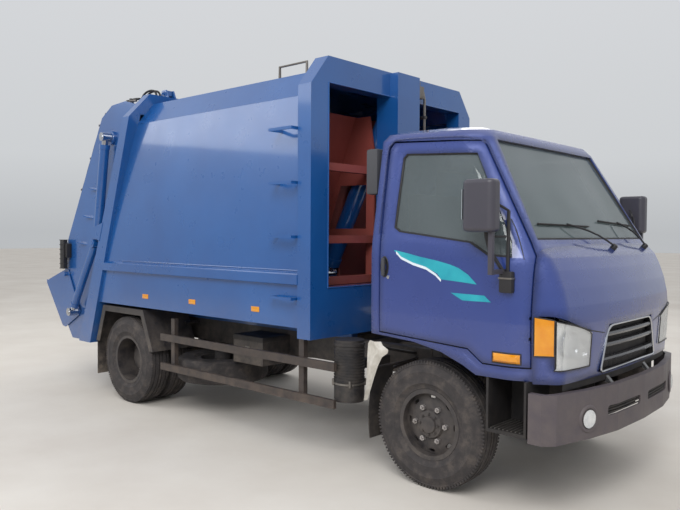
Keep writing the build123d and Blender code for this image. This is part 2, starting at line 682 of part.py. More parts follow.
def cab_form(inset):
    """The cab's closed outer form, moved inwards by inset."""
    with BuildPart() as form:
        for index, (z, rear, rear_half, side_x, side_half, corner, corner_half,
                    centre) in enumerate(CAB_SECTIONS):
            lower = inset if index >= len(CAB_SECTIONS) - ROOF_SECTIONS else 0
            with BuildSketch(Plane.XY.offset(z - lower)) as section:
                with BuildLine():
                    corner_right = (ahead(corner) - inset, -corner_half + inset)
                    corner_left = (ahead(corner) - inset, corner_half - inset)
                    Polyline(corner_left, (ahead(side_x), side_half - inset),
                             (ahead(rear) + inset, rear_half - inset),
                             (ahead(rear) + inset, -rear_half + inset), (ahead(side_x), -side_half + inset),
                             corner_right)
                    ThreePointArc(corner_right, (ahead(centre) - inset, 0), corner_left)
                make_face()
                fillet([v for v in section.vertices() if v.X > ahead(side_x) + 1], CORNER_RADIUS - inset)
                fillet([v for v in section.vertices() if abs(v.X - ahead(side_x)) < 1], SIDE_RADIUS - inset)
        loft(ruled=True)
    return form.part


def prism(points, low_y, high_y, growth=0):
    """Side-view outline, moved outwards by growth, extruded across from low_y to high_y."""
    with BuildPart() as block:
        with BuildSketch(Plane.XZ.offset(-low_y)):
            with BuildLine():
                Polyline(*points, close=True)
            make_face()
            if growth:
                offset(amount=growth, kind=Kind.INTERSECTION)
        extrude(amount=-(high_y - low_y))
    return block.part


def front_prism(points, low_x, high_x, growth=0):
    """Front-view outline, moved outwards by growth, extruded from low_x to high_x."""
    with BuildPart() as block:
        with BuildSketch(Plane.YZ.offset(low_x)):
            with BuildLine():
                Polyline(*points, close=True)
            make_face()
            if growth:
                offset(amount=growth, kind=Kind.INTERSECTION)
        extrude(amount=high_x - low_x)
    return block.part


DOOR_FRONT_EDGE = [(ahead(300), 2165), (ahead(652), 1570), (DOOR_FRONT_X, 1480), (DOOR_FRONT_X, 862),
                   (ahead(430), 862), (ahead(330), 935)]
DOOR_OUTLINE = [(ahead(-330), 972), (ahead(-325), 1600), (ahead(-312), 2150),
                (ahead(-285), 2186)] + DOOR_FRONT_EDGE
DOOR_OPENING = [(ahead(-330), 972), (ahead(-330), 1600), (ahead(-324), 2154),
                (ahead(-290), 2190)] + DOOR_FRONT_EDGE
# Columns: distance from the middle plane, height; the inner limit of the door's depth
DOOR_DEPTH = [(865, 800), (865, 1480), (845, 1575), (725, 2200), (1200, 2200), (1200, 800)]
WINDOW_OUTLINE = [(ahead(-232), 1640), (ahead(-215), 2085), (ahead(-190), 2112), (ahead(285), 2092),
                  (ahead(585), 1560), (ahead(600), 1470), (ahead(450), 1480), (ahead(330), 1550),
                  (ahead(-190), 1612)]
NOSE_REAR_X = ahead(716)
STEP_TOP_Z = 785 - SEAT_GAP
ARCH_OUTLINE = [(ahead(-401), 952), (ahead(-60), 930), (ahead(143), 891), (ahead(300), 830),
                (ahead(385), 785),
                (NOSE_REAR_X, 785), (NOSE_REAR_X, 700), (ahead(-401), 700)]
SCREEN_OUTLINE = [(-836, 1572), (-700, 2182), (700, 2182), (836, 1572)]
NOSE_TOP_Z = 1535
GRILLE_OUTLINE = [(-462, 790), (-362, 1070), (362, 1070), (462, 790)]

cab_outer = cab_form(0)
cab_inner = cab_form(CAB_WALL)
cab_skin = cab_form(SKIRT_WALL)
arch_cut = prism(ARCH_OUTLINE, -1100, 1100)
half = CAB_HALF_WIDTH + 90
nose_box = prism([(NOSE_REAR_X, 700), (NOSE_REAR_X, NOSE_TOP_Z), (ahead(1100), NOSE_TOP_Z),
                  (ahead(1100), 700)],
                 -half, half)
upper_cavity = prism([(ahead(-500), CAB_FLOOR_Z), (ahead(-500), 2500), (ahead(1100), 2500),
                      (ahead(1100), CAB_FLOOR_Z)], -half, half)
under_cavity = prism([(ahead(-500), 700), (ahead(-500), CAB_FLOOR_Z - CAB_FLOOR_THICKNESS),
                      (ahead(1100), CAB_FLOOR_Z - CAB_FLOOR_THICKNESS), (ahead(1100), 700)], -half, half)
cabin_space = cab_inner & upper_cavity
skirt_space = cab_skin & under_cavity
screen_cut = front_prism(SCREEN_OUTLINE, ahead(100), ahead(1100))

door_side = {side: front_prism([(side * y, z) for y, z in DOOR_DEPTH], ahead(-450), ahead(800))
             for side in (-1, 1)}
door_space = {side: front_prism([(side * y, z) for y, z in DOOR_DEPTH], ahead(-450), ahead(800), DOOR_GAP)
              for side in (-1, 1)}
opening_bar = prism(DOOR_OPENING, -half, half, DOOR_GAP)
door_cuts = (opening_bar & door_space[-1]) + (opening_bar & door_space[1])

# Cab shell: floor, bulkhead, pillars, back wall, roof and skirts
with BuildPart() as cab_shell:
    add(cab_outer)
    add(cabin_space, mode=Mode.SUBTRACT)
    add(skirt_space, mode=Mode.SUBTRACT)
    add(arch_cut, mode=Mode.SUBTRACT)
    add(prism([(NOSE_REAR_X, 700), (NOSE_REAR_X, NOSE_TOP_Z), (ahead(1100), NOSE_TOP_Z),
               (ahead(1100), 700)], -half, half, SEAT_GAP), mode=Mode.SUBTRACT)
    add(screen_cut, mode=Mode.SUBTRACT)
    add(door_cuts, mode=Mode.SUBTRACT)
    # Rear window
    add(front_prism([(-360, 1760), (-360, 2060), (360, 2060), (360, 1760)], ahead(-450), ahead(-300)),
        mode=Mode.SUBTRACT)
    # Bulkhead under the dashboard
    with BuildSketch(Plane.YZ.offset(ahead(688))):
        with BuildLine():
            Polyline((-BULKHEAD_HALF, CAB_FLOOR_Z - 10), (-BULKHEAD_HALF, NOSE_TOP_Z + 2),
                     (BULKHEAD_HALF, NOSE_TOP_Z + 2), (BULKHEAD_HALF, CAB_FLOOR_Z - 10), close=True)
        make_face()
    extrude(amount=12)
    # Door hinges: a bracket from the bulkhead's edge with a pin through it
    for side in (-1, 1):
        for z in HINGE_HEIGHTS:
            with BuildSketch(Plane.XY.offset(z - HINGE_BRACKET / 2)):
                with Locations((DOOR_HINGE_X,
                                side * (BULKHEAD_HALF + DOOR_HINGE_Y + HINGE_TIP - HINGE_ROOT) / 2)):
                    Rectangle(HINGE_ARM, DOOR_HINGE_Y + HINGE_TIP - BULKHEAD_HALF + HINGE_ROOT)
            extrude(amount=HINGE_BRACKET)
            with BuildSketch(Plane.XY.offset(z - HINGE_PIN_LENGTH / 2)):
                with Locations((DOOR_HINGE_X, side * DOOR_HINGE_Y)):
                    Circle(HINGE_PIN_RADIUS)
            extrude(amount=HINGE_PIN_LENGTH)
    # Lugs down to the tilt pin
    for side in (-1, 1):
        with BuildSketch(Plane.XZ.offset(-side * CAB_PIVOT_Y)):
            with BuildLine():
                Polyline((ahead(560), CAB_FLOOR_Z - 20), (ahead(700), CAB_FLOOR_Z - 20),
                         (CAB_PIVOT[0] + 30, CAB_PIVOT[1] + 20), (CAB_PIVOT[0] + 24, CAB_PIVOT[1] - 24),
                         (CAB_PIVOT[0] - 30, CAB_PIVOT[1] - 20), (ahead(800), 800), close=True)
            make_face()
        extrude(amount=19, both=True)
        with BuildSketch(Plane.XZ.offset(-side * CAB_PIVOT_Y)):
            with Locations(CAB_PIVOT):
                Circle(CAB_PIVOT_RADIUS)
        extrude(amount=44, both=True)
cab_shell.part.label = "cab_shell"
export_step(cab_shell.part, "parts/cab_shell.step")

# Front panel: the nose under the windscreen, with its grille and lamp openings
LAMP_OUTLINE = [(-1100, 928), (-1100, 1150), (-905, 1150), (-590, 1045), (-590, 848), (-896, 850), (-896, 928)]
with BuildPart() as cab_nose:
    add(cab_outer)
    add(cab_skin, mode=Mode.SUBTRACT)
    add(nose_box, mode=Mode.INTERSECT)
    add(arch_cut, mode=Mode.SUBTRACT)
    add(front_prism(GRILLE_OUTLINE, ahead(700), ahead(1100)), mode=Mode.SUBTRACT)
    for side in (1, -1):
        add(front_prism([(side * y, z) for y, z in LAMP_OUTLINE], ahead(742), ahead(1100)),
            mode=Mode.SUBTRACT)
cab_nose.part.label = "cab_nose"
export_step(cab_nose.part, "parts/cab_nose.step")

# Windscreen, bonded into its aperture
glass_outer = cab_form(GLASS_INSET)
glass_inner = cab_form(GLASS_INSET + GLASS_THICKNESS)
with BuildPart() as windscreen:
    add(glass_outer)
    add(glass_inner, mode=Mode.SUBTRACT)
    add(front_prism(SCREEN_OUTLINE, ahead(120), ahead(1100), -SEAT_GAP), mode=Mode.INTERSECT)
windscreen.part.label = "windscreen"
export_step(windscreen.part, "parts/windscreen.step")

# Grille: a frame with slats behind the nose panel's opening
with BuildPart() as grille:
    add(front_prism(GRILLE_OUTLINE, ahead(880), ahead(912), -SEAT_GAP))
    for z in range(820, 1060, 48):
        add(front_prism([(-330, z), (-330, z + 26), (330, z + 26), (330, z)], ahead(870), ahead(920)),
            mode=Mode.SUBTRACT)
grille.part.label = "grille"
export_step(grille.part, "parts/grille.step")

# Lamp units at the corners of the nose
lamp_outer = cab_form(1)
lamp_inner = cab_form(60)
lamp_solids = []
for side in (1, -1):
    bounds = front_prism([(side * y, z) for y, z in LAMP_OUTLINE], ahead(743), ahead(1100), -0.5)
    lamp_solids.append((lamp_outer - lamp_inner) & bounds)
with BuildPart() as front_lamps:
    for solid in lamp_solids:
        add(solid)
front_lamps.part.label = "front_lamps"
export_step(front_lamps.part, "parts/front_lamps.step")

# Doors, their glass and mirrors
cab_clearance = cab_form(-SEAT_GAP)
for side, name in ((-1, "right"), (1, "left")):
    low_y, high_y = (-half, -500) if side < 0 else (500, half)
    with BuildPart() as door:
        add(cab_outer)
        add(cab_form(DOOR_THICKNESS), mode=Mode.SUBTRACT)
        add(prism(DOOR_OUTLINE, low_y, high_y), mode=Mode.INTERSECT)
        add(door_side[side], mode=Mode.INTERSECT)
        add(prism(WINDOW_OUTLINE, low_y, high_y), mode=Mode.SUBTRACT)
        # Bores for the hinge pins and slots that swing clear of their brackets
        for z in HINGE_HEIGHTS:
            with BuildSketch(Plane.XY.offset(z - HINGE_PIN_LENGTH / 2 - HINGE_SLACK)):
                with Locations((DOOR_HINGE_X, side * DOOR_HINGE_Y)):
                    Circle(HINGE_PIN_RADIUS + PIN_GAP)
            extrude(amount=HINGE_PIN_LENGTH + 2 * HINGE_SLACK, mode=Mode.SUBTRACT)
            slot_rear = DOOR_HINGE_X - HINGE_ARM / 2 - 2 * HINGE_SLACK
            slot_out = DOOR_HINGE_Y + HINGE_SLOT_REACH
            with BuildSketch(Plane.XY.offset(z - HINGE_BRACKET / 2 - HINGE_SLACK)):
                with Locations(((slot_rear + DOOR_FRONT_X + 1) / 2, side * (BULKHEAD_HALF + slot_out) / 2)):
                    Rectangle(DOOR_FRONT_X + 1 - slot_rear, slot_out - BULKHEAD_HALF)
            extrude(amount=HINGE_BRACKET + 2 * HINGE_SLACK, mode=Mode.SUBTRACT)
    door.part.label = f"door_{name}"
    export_step(door.part, f"parts/door_{name}.step")
    with BuildPart() as door_glass:
        add(glass_outer)
        add(glass_inner, mode=Mode.SUBTRACT)
        add(prism(WINDOW_OUTLINE, low_y, high_y, -SEAT_GAP), mode=Mode.INTERSECT)
    door_glass.part.label = f"door_glass_{name}"
    export_step(door_glass.part, f"parts/door_glass_{name}.step")
    with BuildPart() as door_mirror:
        with BuildSketch(Plane.XY.offset(1615)):
            with Locations((ahead(495), side * 1150)):
                RectangleRounded(200, 110, 40)
        extrude(amount=291)
        fillet(door_mirror.edges().group_by(Axis.Z)[0] + door_mirror.edges().group_by(Axis.Z)[-1], 24)
        with BuildSketch(Plane.XZ.offset(-side * 1150)):
            with Locations((ahead(560), 1500)):
                Rectangle(26, 240)
        extrude(amount=13, both=True)
        with BuildSketch(Plane.XZ.offset(-side * 980)):
            with Locations((ahead(560), 1395)):
                Rectangle(26, 26)
        extrude(amount=-side * 183)
        add(cab_clearance, mode=Mode.SUBTRACT)
    door_mirror.part.label = f"mirror_{name}"
    export_step(door_mirror.part, f"parts/mirror_{name}.step")

# Steps under the front corners of the cab
with BuildPart() as cab_steps:
    for side in (-1, 1):
        with BuildSketch(Plane.XZ.offset(-side * 720)):
            with BuildLine():
                Polyline((ahead(455), 470), (ahead(706), 470), (ahead(706), STEP_TOP_Z),
                         (ahead(455), STEP_TOP_Z), close=True)
            make_face()
            with BuildLine():
                Polyline((ahead(470), 490), (ahead(692), 490), (ahead(692), 800), (ahead(470), 800),
                         close=True)
            make_face(mode=Mode.SUBTRACT)
        extrude(amount=-side * 285)
        with BuildSketch(Plane.XZ.offset(-side * 720)):
            with BuildLine():
                Polyline((ahead(455), 470), (ahead(706), 470), (ahead(706), STEP_TOP_Z),
                         (ahead(455), STEP_TOP_Z), close=True)
            make_face()
        extrude(amount=-side * 12)
cab_steps.part.label = "cab_steps"
export_step(cab_steps.part, "parts/cab_steps.step")

# Dashboard across the bulkhead
STEERING_PLANE = Plane(origin=(ahead(360), 480, 1500), z_dir=(-0.5, 0, 0.866))
with BuildPart() as dashboard:
    with BuildSketch(Plane.XZ):
        with BuildLine():
            Polyline((ahead(688) - SEAT_GAP, 1180), (ahead(688) - SEAT_GAP, 1455), (ahead(640), 1500),
                     (ahead(470), 1440),
                     (ahead(440), 1330), (ahead(560), 1180), close=True)
        make_face()
    extrude(amount=800, both=True)
    # Socket for the steering column
    with BuildSketch(STEERING_PLANE.offset(-215 - SEAT_GAP)):
        Circle(24 + SEAT_GAP)
    extrude(amount=215, mode=Mode.SUBTRACT)
dashboard.part.label = "dashboard"
export_step(dashboard.part, "parts/dashboard.step")

# Steering wheel and column on the left
with BuildPart() as steering_wheel:
    with BuildSketch(STEERING_PLANE):
        Circle(220)
        Circle(192, mode=Mode.SUBTRACT)
        Rectangle(400, 26)
        Circle(46)
    extrude(amount=26)
    with BuildSketch(STEERING_PLANE):
        Circle(24)
    extrude(amount=-215)
steering_wheel.part.label = "steering_wheel"
export_step(steering_wheel.part, "parts/steering_wheel.step")

# Seats: driver's seat and a double passenger bench
with BuildPart() as seats:
    for y, width in ((500, 480), (-330, 900)):
        with BuildSketch(Plane.XZ.offset(-y)):
            with BuildLine():
                Polyline((ahead(-300), CAB_FLOOR_Z + SEAT_GAP), (ahead(180), CAB_FLOOR_Z + SEAT_GAP),
                         (ahead(200), 1330), (ahead(-150), 1310), (ahead(-250), 1900), (ahead(-330), 1900),
                         close=True)
            make_face()
        extrude(amount=width / 2, both=True)
seats.part.label = "seats"
export_step(seats.part, "parts/seats.step")

# Air intake snorkel on the back of the cab
with BuildPart() as snorkel:
    with BuildSketch(Plane.XY.offset(1100)):
        with Locations((CAB_REAR_X - SEAT_GAP - 50, -880)):
            RectangleRounded(100, 150, 20)
    extrude(amount=1120)
snorkel.part.label = "snorkel"
export_step(snorkel.part, "parts/snorkel.step")

# Load body floor: deck, long sills on the frame rails and cross bearers
SILL_HEIGHT = BODY_BOTTOM_Z + 13 - RAIL_TOP_Z - SEAT_GAP
SILL_REAR_X = ahead(-3835)
BEARER_HALF = RAIL_OUTER_Y + 60
with BuildPart() as body_floor:
    with BuildSketch(Plane.XZ):
        with BuildLine():
            Polyline((PORTAL_REAR_X - SEAT_GAP, BODY_BOTTOM_Z + 12),
                     (post_front_x(BODY_BOTTOM_Z + 12) + SEAT_GAP, BODY_BOTTOM_Z + 12),
                     (post_front_x(FLOOR_TOP_Z) + SEAT_GAP, FLOOR_TOP_Z),
                     (PORTAL_REAR_X - SEAT_GAP, FLOOR_TOP_Z),
                     close=True)
        make_face()
    extrude(amount=BODY_HALF_WIDTH - BODY_WALL - 1, both=True)
    for side in (-1, 1):
        with BuildSketch(Plane.XY.offset(RAIL_TOP_Z + SEAT_GAP)):
            with Locations(((PORTAL_REAR_X + SILL_REAR_X) / 2, side * (RAIL_OUTER_Y - 35))):
                Rectangle(PORTAL_REAR_X - SILL_REAR_X - 20, 70)
        extrude(amount=SILL_HEIGHT)
    for index in range(7):
        x = PORTAL_REAR_X - 150 - index * 420
        with BuildSketch(Plane.XY.offset(BODY_BOTTOM_Z - 60)):
            with Locations((x, 0)):
                Rectangle(60, 2 * BEARER_HALF)
        extrude(amount=74)
body_floor.part.label = "body_floor"
export_step(body_floor.part, "parts/body_floor.step")


RUNG_HEIGHTS = (1120, 1565, 1952, 2340)
RUNG_OUTER_Y = BODY_HALF_WIDTH + 78
rear_cut = prism([(post_front_x(3000) + SEAT_GAP, 3000), (post_front_x(300) + SEAT_GAP, 300),
                  (ahead(-5500), 300),
                  (ahead(-5500), 3000)], -1200, 1200)
for side, name in ((-1, "right"), (1, "left")):
    with BuildPart() as body_side:
        with BuildSketch(Plane.YZ.offset(ahead(-4200))):
            with BuildLine():
                outer_low = (side * BODY_HALF_WIDTH, BODY_BOTTOM_Z)
                outer_high = (side * BAND_LOW[0], BAND_LOW[1])
                inner_low = (side * (BODY_HALF_WIDTH - BODY_WALL), BODY_BOTTOM_Z)
                inner_high = (side * (BAND_LOW[0] - BODY_WALL), BAND_LOW[1])
                ThreePointArc(outer_low, (side * SIDE_MID[0], SIDE_MID[1]), outer_high)
                Line(outer_high, inner_high)
                ThreePointArc(inner_high, (side * (SIDE_MID[0] - BODY_WALL), SIDE_MID[1]), inner_low)
                Line(inner_low, outer_low)
            make_face()
            # Long rub rail with a sloped top
            with BuildLine():
                Polyline((side * (SIDE_MID[0] + 4), RAIL_LOW_Z),
                         (side * (BODY_HALF_WIDTH + RAIL_PROUD), RAIL_LOW_Z),
                         (side * (BODY_HALF_WIDTH + RAIL_PROUD), RAIL_HIGH_Z - 22),
                         (side * (SIDE_MID[0] + 4), RAIL_HIGH_Z), close=True)
            make_face()
            # Foot flange
            with BuildLine():
                Polyline((side * BODY_HALF_WIDTH, BODY_BOTTOM_Z),
                         (side * BODY_HALF_WIDTH, BODY_BOTTOM_Z + 10),
                         (side * (BODY_HALF_WIDTH - 40), BODY_BOTTOM_Z + 10),
                         (side * (BODY_HALF_WIDTH - 40), BODY_BOTTOM_Z),
                         close=True)
            make_face()
        extrude(amount=PORTAL_REAR_X - SEAT_GAP - ahead(-4200))
        add(rear_cut, mode=Mode.SUBTRACT)
        # Rungs up the front corner of the right side
        for z in (RUNG_HEIGHTS if side < 0 else ()):
            with BuildSketch(Plane.XY.offset(z)):
                with Locations((PORTAL_REAR_X - 135, side * (RUNG_OUTER_Y - 70))):
                    Rectangle(240, 140)
                with Locations((PORTAL_REAR_X - 135, side * (RUNG_OUTER_Y - 90))):
                    Rectangle(200, 140, mode=Mode.SUBTRACT)
            extrude(amount=20)
    body_side.part.label = f"body_side_{name}"
    export_step(body_side.part, f"parts/body_side_{name}.step")

# Body roof: crowned sheet between two sloped box bands
with BuildPart() as body_roof:
    with BuildSketch(Plane.YZ.offset(ahead(-3600))):
        with BuildLine():
            Polyline((-BAND_LOW[0], BAND_LOW[1] + SEAT_GAP), (-BAND_HIGH[0], BAND_HIGH[1]))
            ThreePointArc((-BAND_HIGH[0], BAND_HIGH[1]), (0, ROOF_CROWN_Z), (BAND_HIGH[0], BAND_HIGH[1]))
            Polyline((BAND_HIGH[0], BAND_HIGH[1]), (BAND_LOW[0], BAND_LOW[1] + SEAT_GAP),
                     (BAND_LOW[0] - 60, BAND_LOW[1] + SEAT_GAP), (BAND_HIGH[0] - 45, BAND_HIGH[1] - 40),
                     (BAND_HIGH[0] - 50, BAND_HIGH[1] - BODY_WALL))
            ThreePointArc((BAND_HIGH[0] - 50, BAND_HIGH[1] - BODY_WALL), (0, ROOF_CROWN_Z - BODY_WALL),
                          (-BAND_HIGH[0] + 50, BAND_HIGH[1] - BODY_WALL))
            Polyline((-BAND_HIGH[0] + 50, BAND_HIGH[1] - BODY_WALL), (-BAND_HIGH[0] + 45, BAND_HIGH[1] - 40),
                     (-BAND_LOW[0] + 60, BAND_LOW[1] + SEAT_GAP), (-BAND_LOW[0], BAND_LOW[1] + SEAT_GAP))
        make_face()
    extrude(amount=PORTAL_REAR_X - SEAT_GAP - ahead(-3600))
    add(rear_cut, mode=Mode.SUBTRACT)
body_roof.part.label = "body_roof"
export_step(body_roof.part, "parts/body_roof.step")

# Front portal: a deep box frame with chamfered shoulders, an open middle and a ram column
with BuildPart() as front_portal:
    with BuildSketch(Plane.YZ.offset(PORTAL_REAR_X)):
        with BuildLine():
            Polyline((-PORTAL_HALF_WIDTH, PORTAL_BOTTOM_Z), (-PORTAL_HALF_WIDTH, PORTAL_SHOULDER_Z),
                     (-PORTAL_TOP_HALF, PORTAL_TOP_Z), (PORTAL_TOP_HALF, PORTAL_TOP_Z),
                     (PORTAL_HALF_WIDTH, PORTAL_SHOULDER_Z), (PORTAL_HALF_WIDTH, PORTAL_BOTTOM_Z), close=True)
        make_face()
    extrude(amount=PORTAL_DEPTH)
    opening_half = PORTAL_HALF_WIDTH - PORTAL_POST
    with BuildSketch(Plane.YZ.offset(PORTAL_REAR_X)):
        with Locations((0, (PORTAL_SILL_Z + PORTAL_LINTEL_Z) / 2)):
            Rectangle(2 * opening_half, PORTAL_LINTEL_Z - PORTAL_SILL_Z)
    extrude(amount=PORTAL_DEPTH, mode=Mode.SUBTRACT)
    # Lower panel is a plate with a flange above it
    with BuildSketch(Plane.YZ.offset(PORTAL_REAR_X)):
        with Locations((0, (PORTAL_SILL_Z + PORTAL_BOTTOM_Z) / 2)):
            Rectangle(2 * opening_half, PORTAL_SILL_Z - PORTAL_BOTTOM_Z - 80)
    extrude(amount=PORTAL_DEPTH - 8, mode=Mode.SUBTRACT)
    # Hollow of the lintel and the notch through which the ram swings
    with BuildSketch(Plane.YZ.offset(PORTAL_REAR_X)):
        with Locations((0, (PORTAL_LINTEL_Z + PORTAL_TOP_Z) / 2)):
            Rectangle(2 * (COLUMN_HALF - 24), PORTAL_TOP_Z - PORTAL_LINTEL_Z + 2)
    extrude(amount=PORTAL_DEPTH, mode=Mode.SUBTRACT)
    # Ram column: a channel open to the rear with a cap
    with BuildSketch(Plane.XY.offset(PORTAL_BOTTOM_Z)):
        with Locations((PORTAL_FRONT_X + COLUMN_DEPTH / 2, 0)):
            Rectangle(COLUMN_DEPTH, 2 * COLUMN_HALF)
        with Locations((PORTAL_FRONT_X + COLUMN_DEPTH / 2 - 12, 0)):
            Rectangle(COLUMN_DEPTH, 2 * (COLUMN_HALF - 12), mode=Mode.SUBTRACT)
        for side in (-1, 1):
            with Locations((PORTAL_FRONT_X - PORTAL_DEPTH / 2, side * (COLUMN_HALF - 12))):
                Rectangle(PORTAL_DEPTH, 24)
    extrude(amount=COLUMN_TOP_Z - PORTAL_BOTTOM_Z)
    # Bosses inside the column for the ram's pin
    for side in (-1, 1):
        with BuildSketch(Plane.XZ.offset(-side * (RAM_EYE_WIDTH / 2 + MOVE_GAP + 6))):
            with Locations(RAM_PIVOT):
                Circle(48)
        extrude(amount=-side * (COLUMN_HALF - 24 - RAM_EYE_WIDTH / 2 - MOVE_GAP - 5))
    with BuildSketch(Plane.XZ.offset(-COLUMN_HALF)):
        with Locations(RAM_PIVOT):
            Circle(25)
    extrude(amount=2 * COLUMN_HALF)
front_portal.part.label = "front_portal"
export_step(front_portal.part, "parts/front_portal.step")

# Rear frame: slanted ring on which the tailgate closes, with feet below the floor
with BuildPart() as rear_frame:
    post = [(POST_FRONT_TOP[0], POST_FRONT_TOP[1]), (post_front_x(POST_FOOT_Z), POST_FOOT_Z),
            (mate_x(POST_FOOT_Z), POST_FOOT_Z), (MATE_TOP[0], MATE_TOP[1])]
    add(prism(post, -PORTAL_HALF_WIDTH, PORTAL_HALF_WIDTH))
    for side in (-1, 1):
        with BuildSketch(Plane.YZ.offset(ahead(-4400))):
            with BuildLine():
                Polyline((side * PORTAL_TOP_HALF, PORTAL_TOP_Z + 12),
                         (side * (PORTAL_HALF_WIDTH + 1), PORTAL_SHOULDER_Z + 10),
                         (side * (PORTAL_HALF_WIDTH + 1), PORTAL_TOP_Z + 12), close=True)
            make_face()
        extrude(amount=1500, mode=Mode.SUBTRACT)
    with BuildSketch(Plane.YZ.offset(ahead(-4400))):
        with Locations((0, (FLOOR_TOP_Z + REAR_LINTEL_Z) / 2)):
            Rectangle(2 * POST_INNER_Y, REAR_LINTEL_Z - FLOOR_TOP_Z)
        with Locations((0, (POST_FOOT_Z + BODY_BOTTOM_Z - 70) / 2 - 1)):
            Rectangle(2 * POST_INNER_Y, BODY_BOTTOM_Z - 70 - POST_FOOT_Z + 2)
    extrude(amount=1500, mode=Mode.SUBTRACT)
    # Ears on the top beam for the tailgate hinge, and brackets for the lift cylinders
    for side in (-1, 1):
        for ear in (-40, 40):
            with BuildSketch(Plane.XZ.offset(-side * TAILGATE_ARM_Y - ear - 8)):
                with BuildLine():
                    Polyline((TAILGATE_PIVOT[0] + 75, FRAME_TOP_Z - 8),
                             (TAILGATE_PIVOT[0] + 35, TAILGATE_PIVOT[1] + 30),
                             (TAILGATE_PIVOT[0] - 30, TAILGATE_PIVOT[1] + 30),
                             (TAILGATE_PIVOT[0] - 40, FRAME_TOP_Z + 12),
                             (mate_x(FRAME_TOP_Z - 8) + 1, FRAME_TOP_Z - 8), close=True)
                make_face()
                with Locations(TAILGATE_PIVOT):
                    Circle(TAILGATE_PIN_RADIUS + PIN_GAP, mode=Mode.SUBTRACT)
            extrude(amount=16)
        for ear in (-SIDE_EAR, SIDE_EAR):
            with BuildSketch(Plane.XZ.offset(-side * SIDE_CYLINDER_Y - ear - 6)):
                with BuildLine():
                    Polyline((mate_x(LIFT_FOOT[1] + 90) + 20, LIFT_FOOT[1] + 90),
                             (LIFT_FOOT[0] - 10, LIFT_FOOT[1] + 38),
                             (LIFT_FOOT[0] - 38, LIFT_FOOT[1]), (LIFT_FOOT[0] - 10, LIFT_FOOT[1] - 38),
                             (mate_x(LIFT_FOOT[1] - 90) + 20, LIFT_FOOT[1] - 90), close=True)
                make_face()
            extrude(amount=12)
        with BuildSketch(Plane.XZ.offset(-side * SIDE_CYLINDER_Y)):
            with Locations(LIFT_FOOT):
                Circle(SIDE_PIN_RADIUS)
        extrude(amount=SIDE_EAR, both=True)
rear_frame.part.label = "rear_frame"
export_step(rear_frame.part, "parts/rear_frame.step")

# Ejector: slanted pushing face with its frame and skids
EJECTOR_TOP_Z = PORTAL_TOP_Z - 308
EJECTOR_HALF = BODY_HALF_WIDTH - BODY_WALL - 60


def face_x(z):
    """X of the pushing face at height z."""
    return EJECTOR_FACE_TOP_X - (EJECTOR_TOP_Z - z) * math.tan(math.radians(MATE_SLOPE))


with BuildPart() as ejector:
    with BuildSketch(Plane.XZ):
        with BuildLine():
            Polyline((face_x(EJECTOR_TOP_Z), EJECTOR_TOP_Z), (face_x(EJECTOR_BOTTOM_Z), EJECTOR_BOTTOM_Z),
                     (face_x(EJECTOR_BOTTOM_Z) - 10, EJECTOR_BOTTOM_Z),
                     (face_x(EJECTOR_TOP_Z) - 10, EJECTOR_TOP_Z),
                     close=True)
        make_face()
    extrude(amount=EJECTOR_HALF, both=True)
    for side in (-1, 1):
        with BuildSketch(Plane.YZ.offset(ahead(-4200))):
            with BuildLine():
                Polyline((side * (EJECTOR_HALF + 1), 1800), (side * (BAND_LOW[0] - 80), EJECTOR_TOP_Z + 1),
                         (side * (EJECTOR_HALF + 1), EJECTOR_TOP_Z + 1), close=True)
            make_face()
        extrude(amount=3100, mode=Mode.SUBTRACT)
    # Four upright frames, two beside the ram and two near the walls
    for y in (-860, -RAM_LUG_Y, RAM_LUG_Y, 860):
        top_z = EJECTOR_TOP_Z - 6
        with BuildSketch(Plane.XZ.offset(-y)):
            with BuildLine():
                Polyline((ahead(-1130), EJECTOR_BOTTOM_Z), (ahead(-1130), top_z - 300), (ahead(-1180), top_z),
                         (face_x(top_z) + 1, top_z), (face_x(EJECTOR_BOTTOM_Z) + 1, EJECTOR_BOTTOM_Z),
                         close=True)
            make_face()
            with BuildLine():
                Polyline((ahead(-1210), 2000), (ahead(-1210), 1640), (face_x(1640) + 50, 1640),
                         (face_x(2000) + 50, 2000),
                         close=True)
            make_face(mode=Mode.SUBTRACT)
            with BuildLine():
                Polyline((ahead(-1210), 1560), (ahead(-1210), 1040), (face_x(1040) + 60, 1040),
                         (face_x(1560) + 50, 1560),
                         close=True)
            make_face(mode=Mode.SUBTRACT)
        extrude(amount=8, both=True)
    for z in (1207, 1525, 2079):
        for low_y, high_y in ((-860, -RAM_LUG_Y), (RAM_LUG_Y, 860)):
            add(prism([(ahead(-1130), z), (ahead(-1130), z + 60), (ahead(-1190), z + 60), (ahead(-1190), z)],
                      low_y, high_y))
    # Lugs for the ram's eye on the middle frames, with the ends of its pin
    for side in (-1, 1):
        with BuildSketch(Plane.XZ.offset(-side * RAM_LUG_Y)):
            with Locations(RAM_EYE):
                Circle(34)
        extrude(amount=-side * 24)
    for y in (-RAM_LUG_Y, RAM_LUG_Y):
        with BuildSketch(Plane.XZ.offset(-y)):
            with BuildLine():
                Polyline((RAM_EYE[0] + 60, RAM_EYE[1] + 60), (RAM_EYE[0] + 60, RAM_EYE[1] - 60),
                         (face_x(RAM_EYE[1] - 130), RAM_EYE[1] - 130),
                         (face_x(RAM_EYE[1] + 130), RAM_EYE[1] + 130), close=True)
            make_face()
        extrude(amount=8, both=True)
ejector.part.label = "ejector"
export_step(ejector.part, "parts/ejector.step")

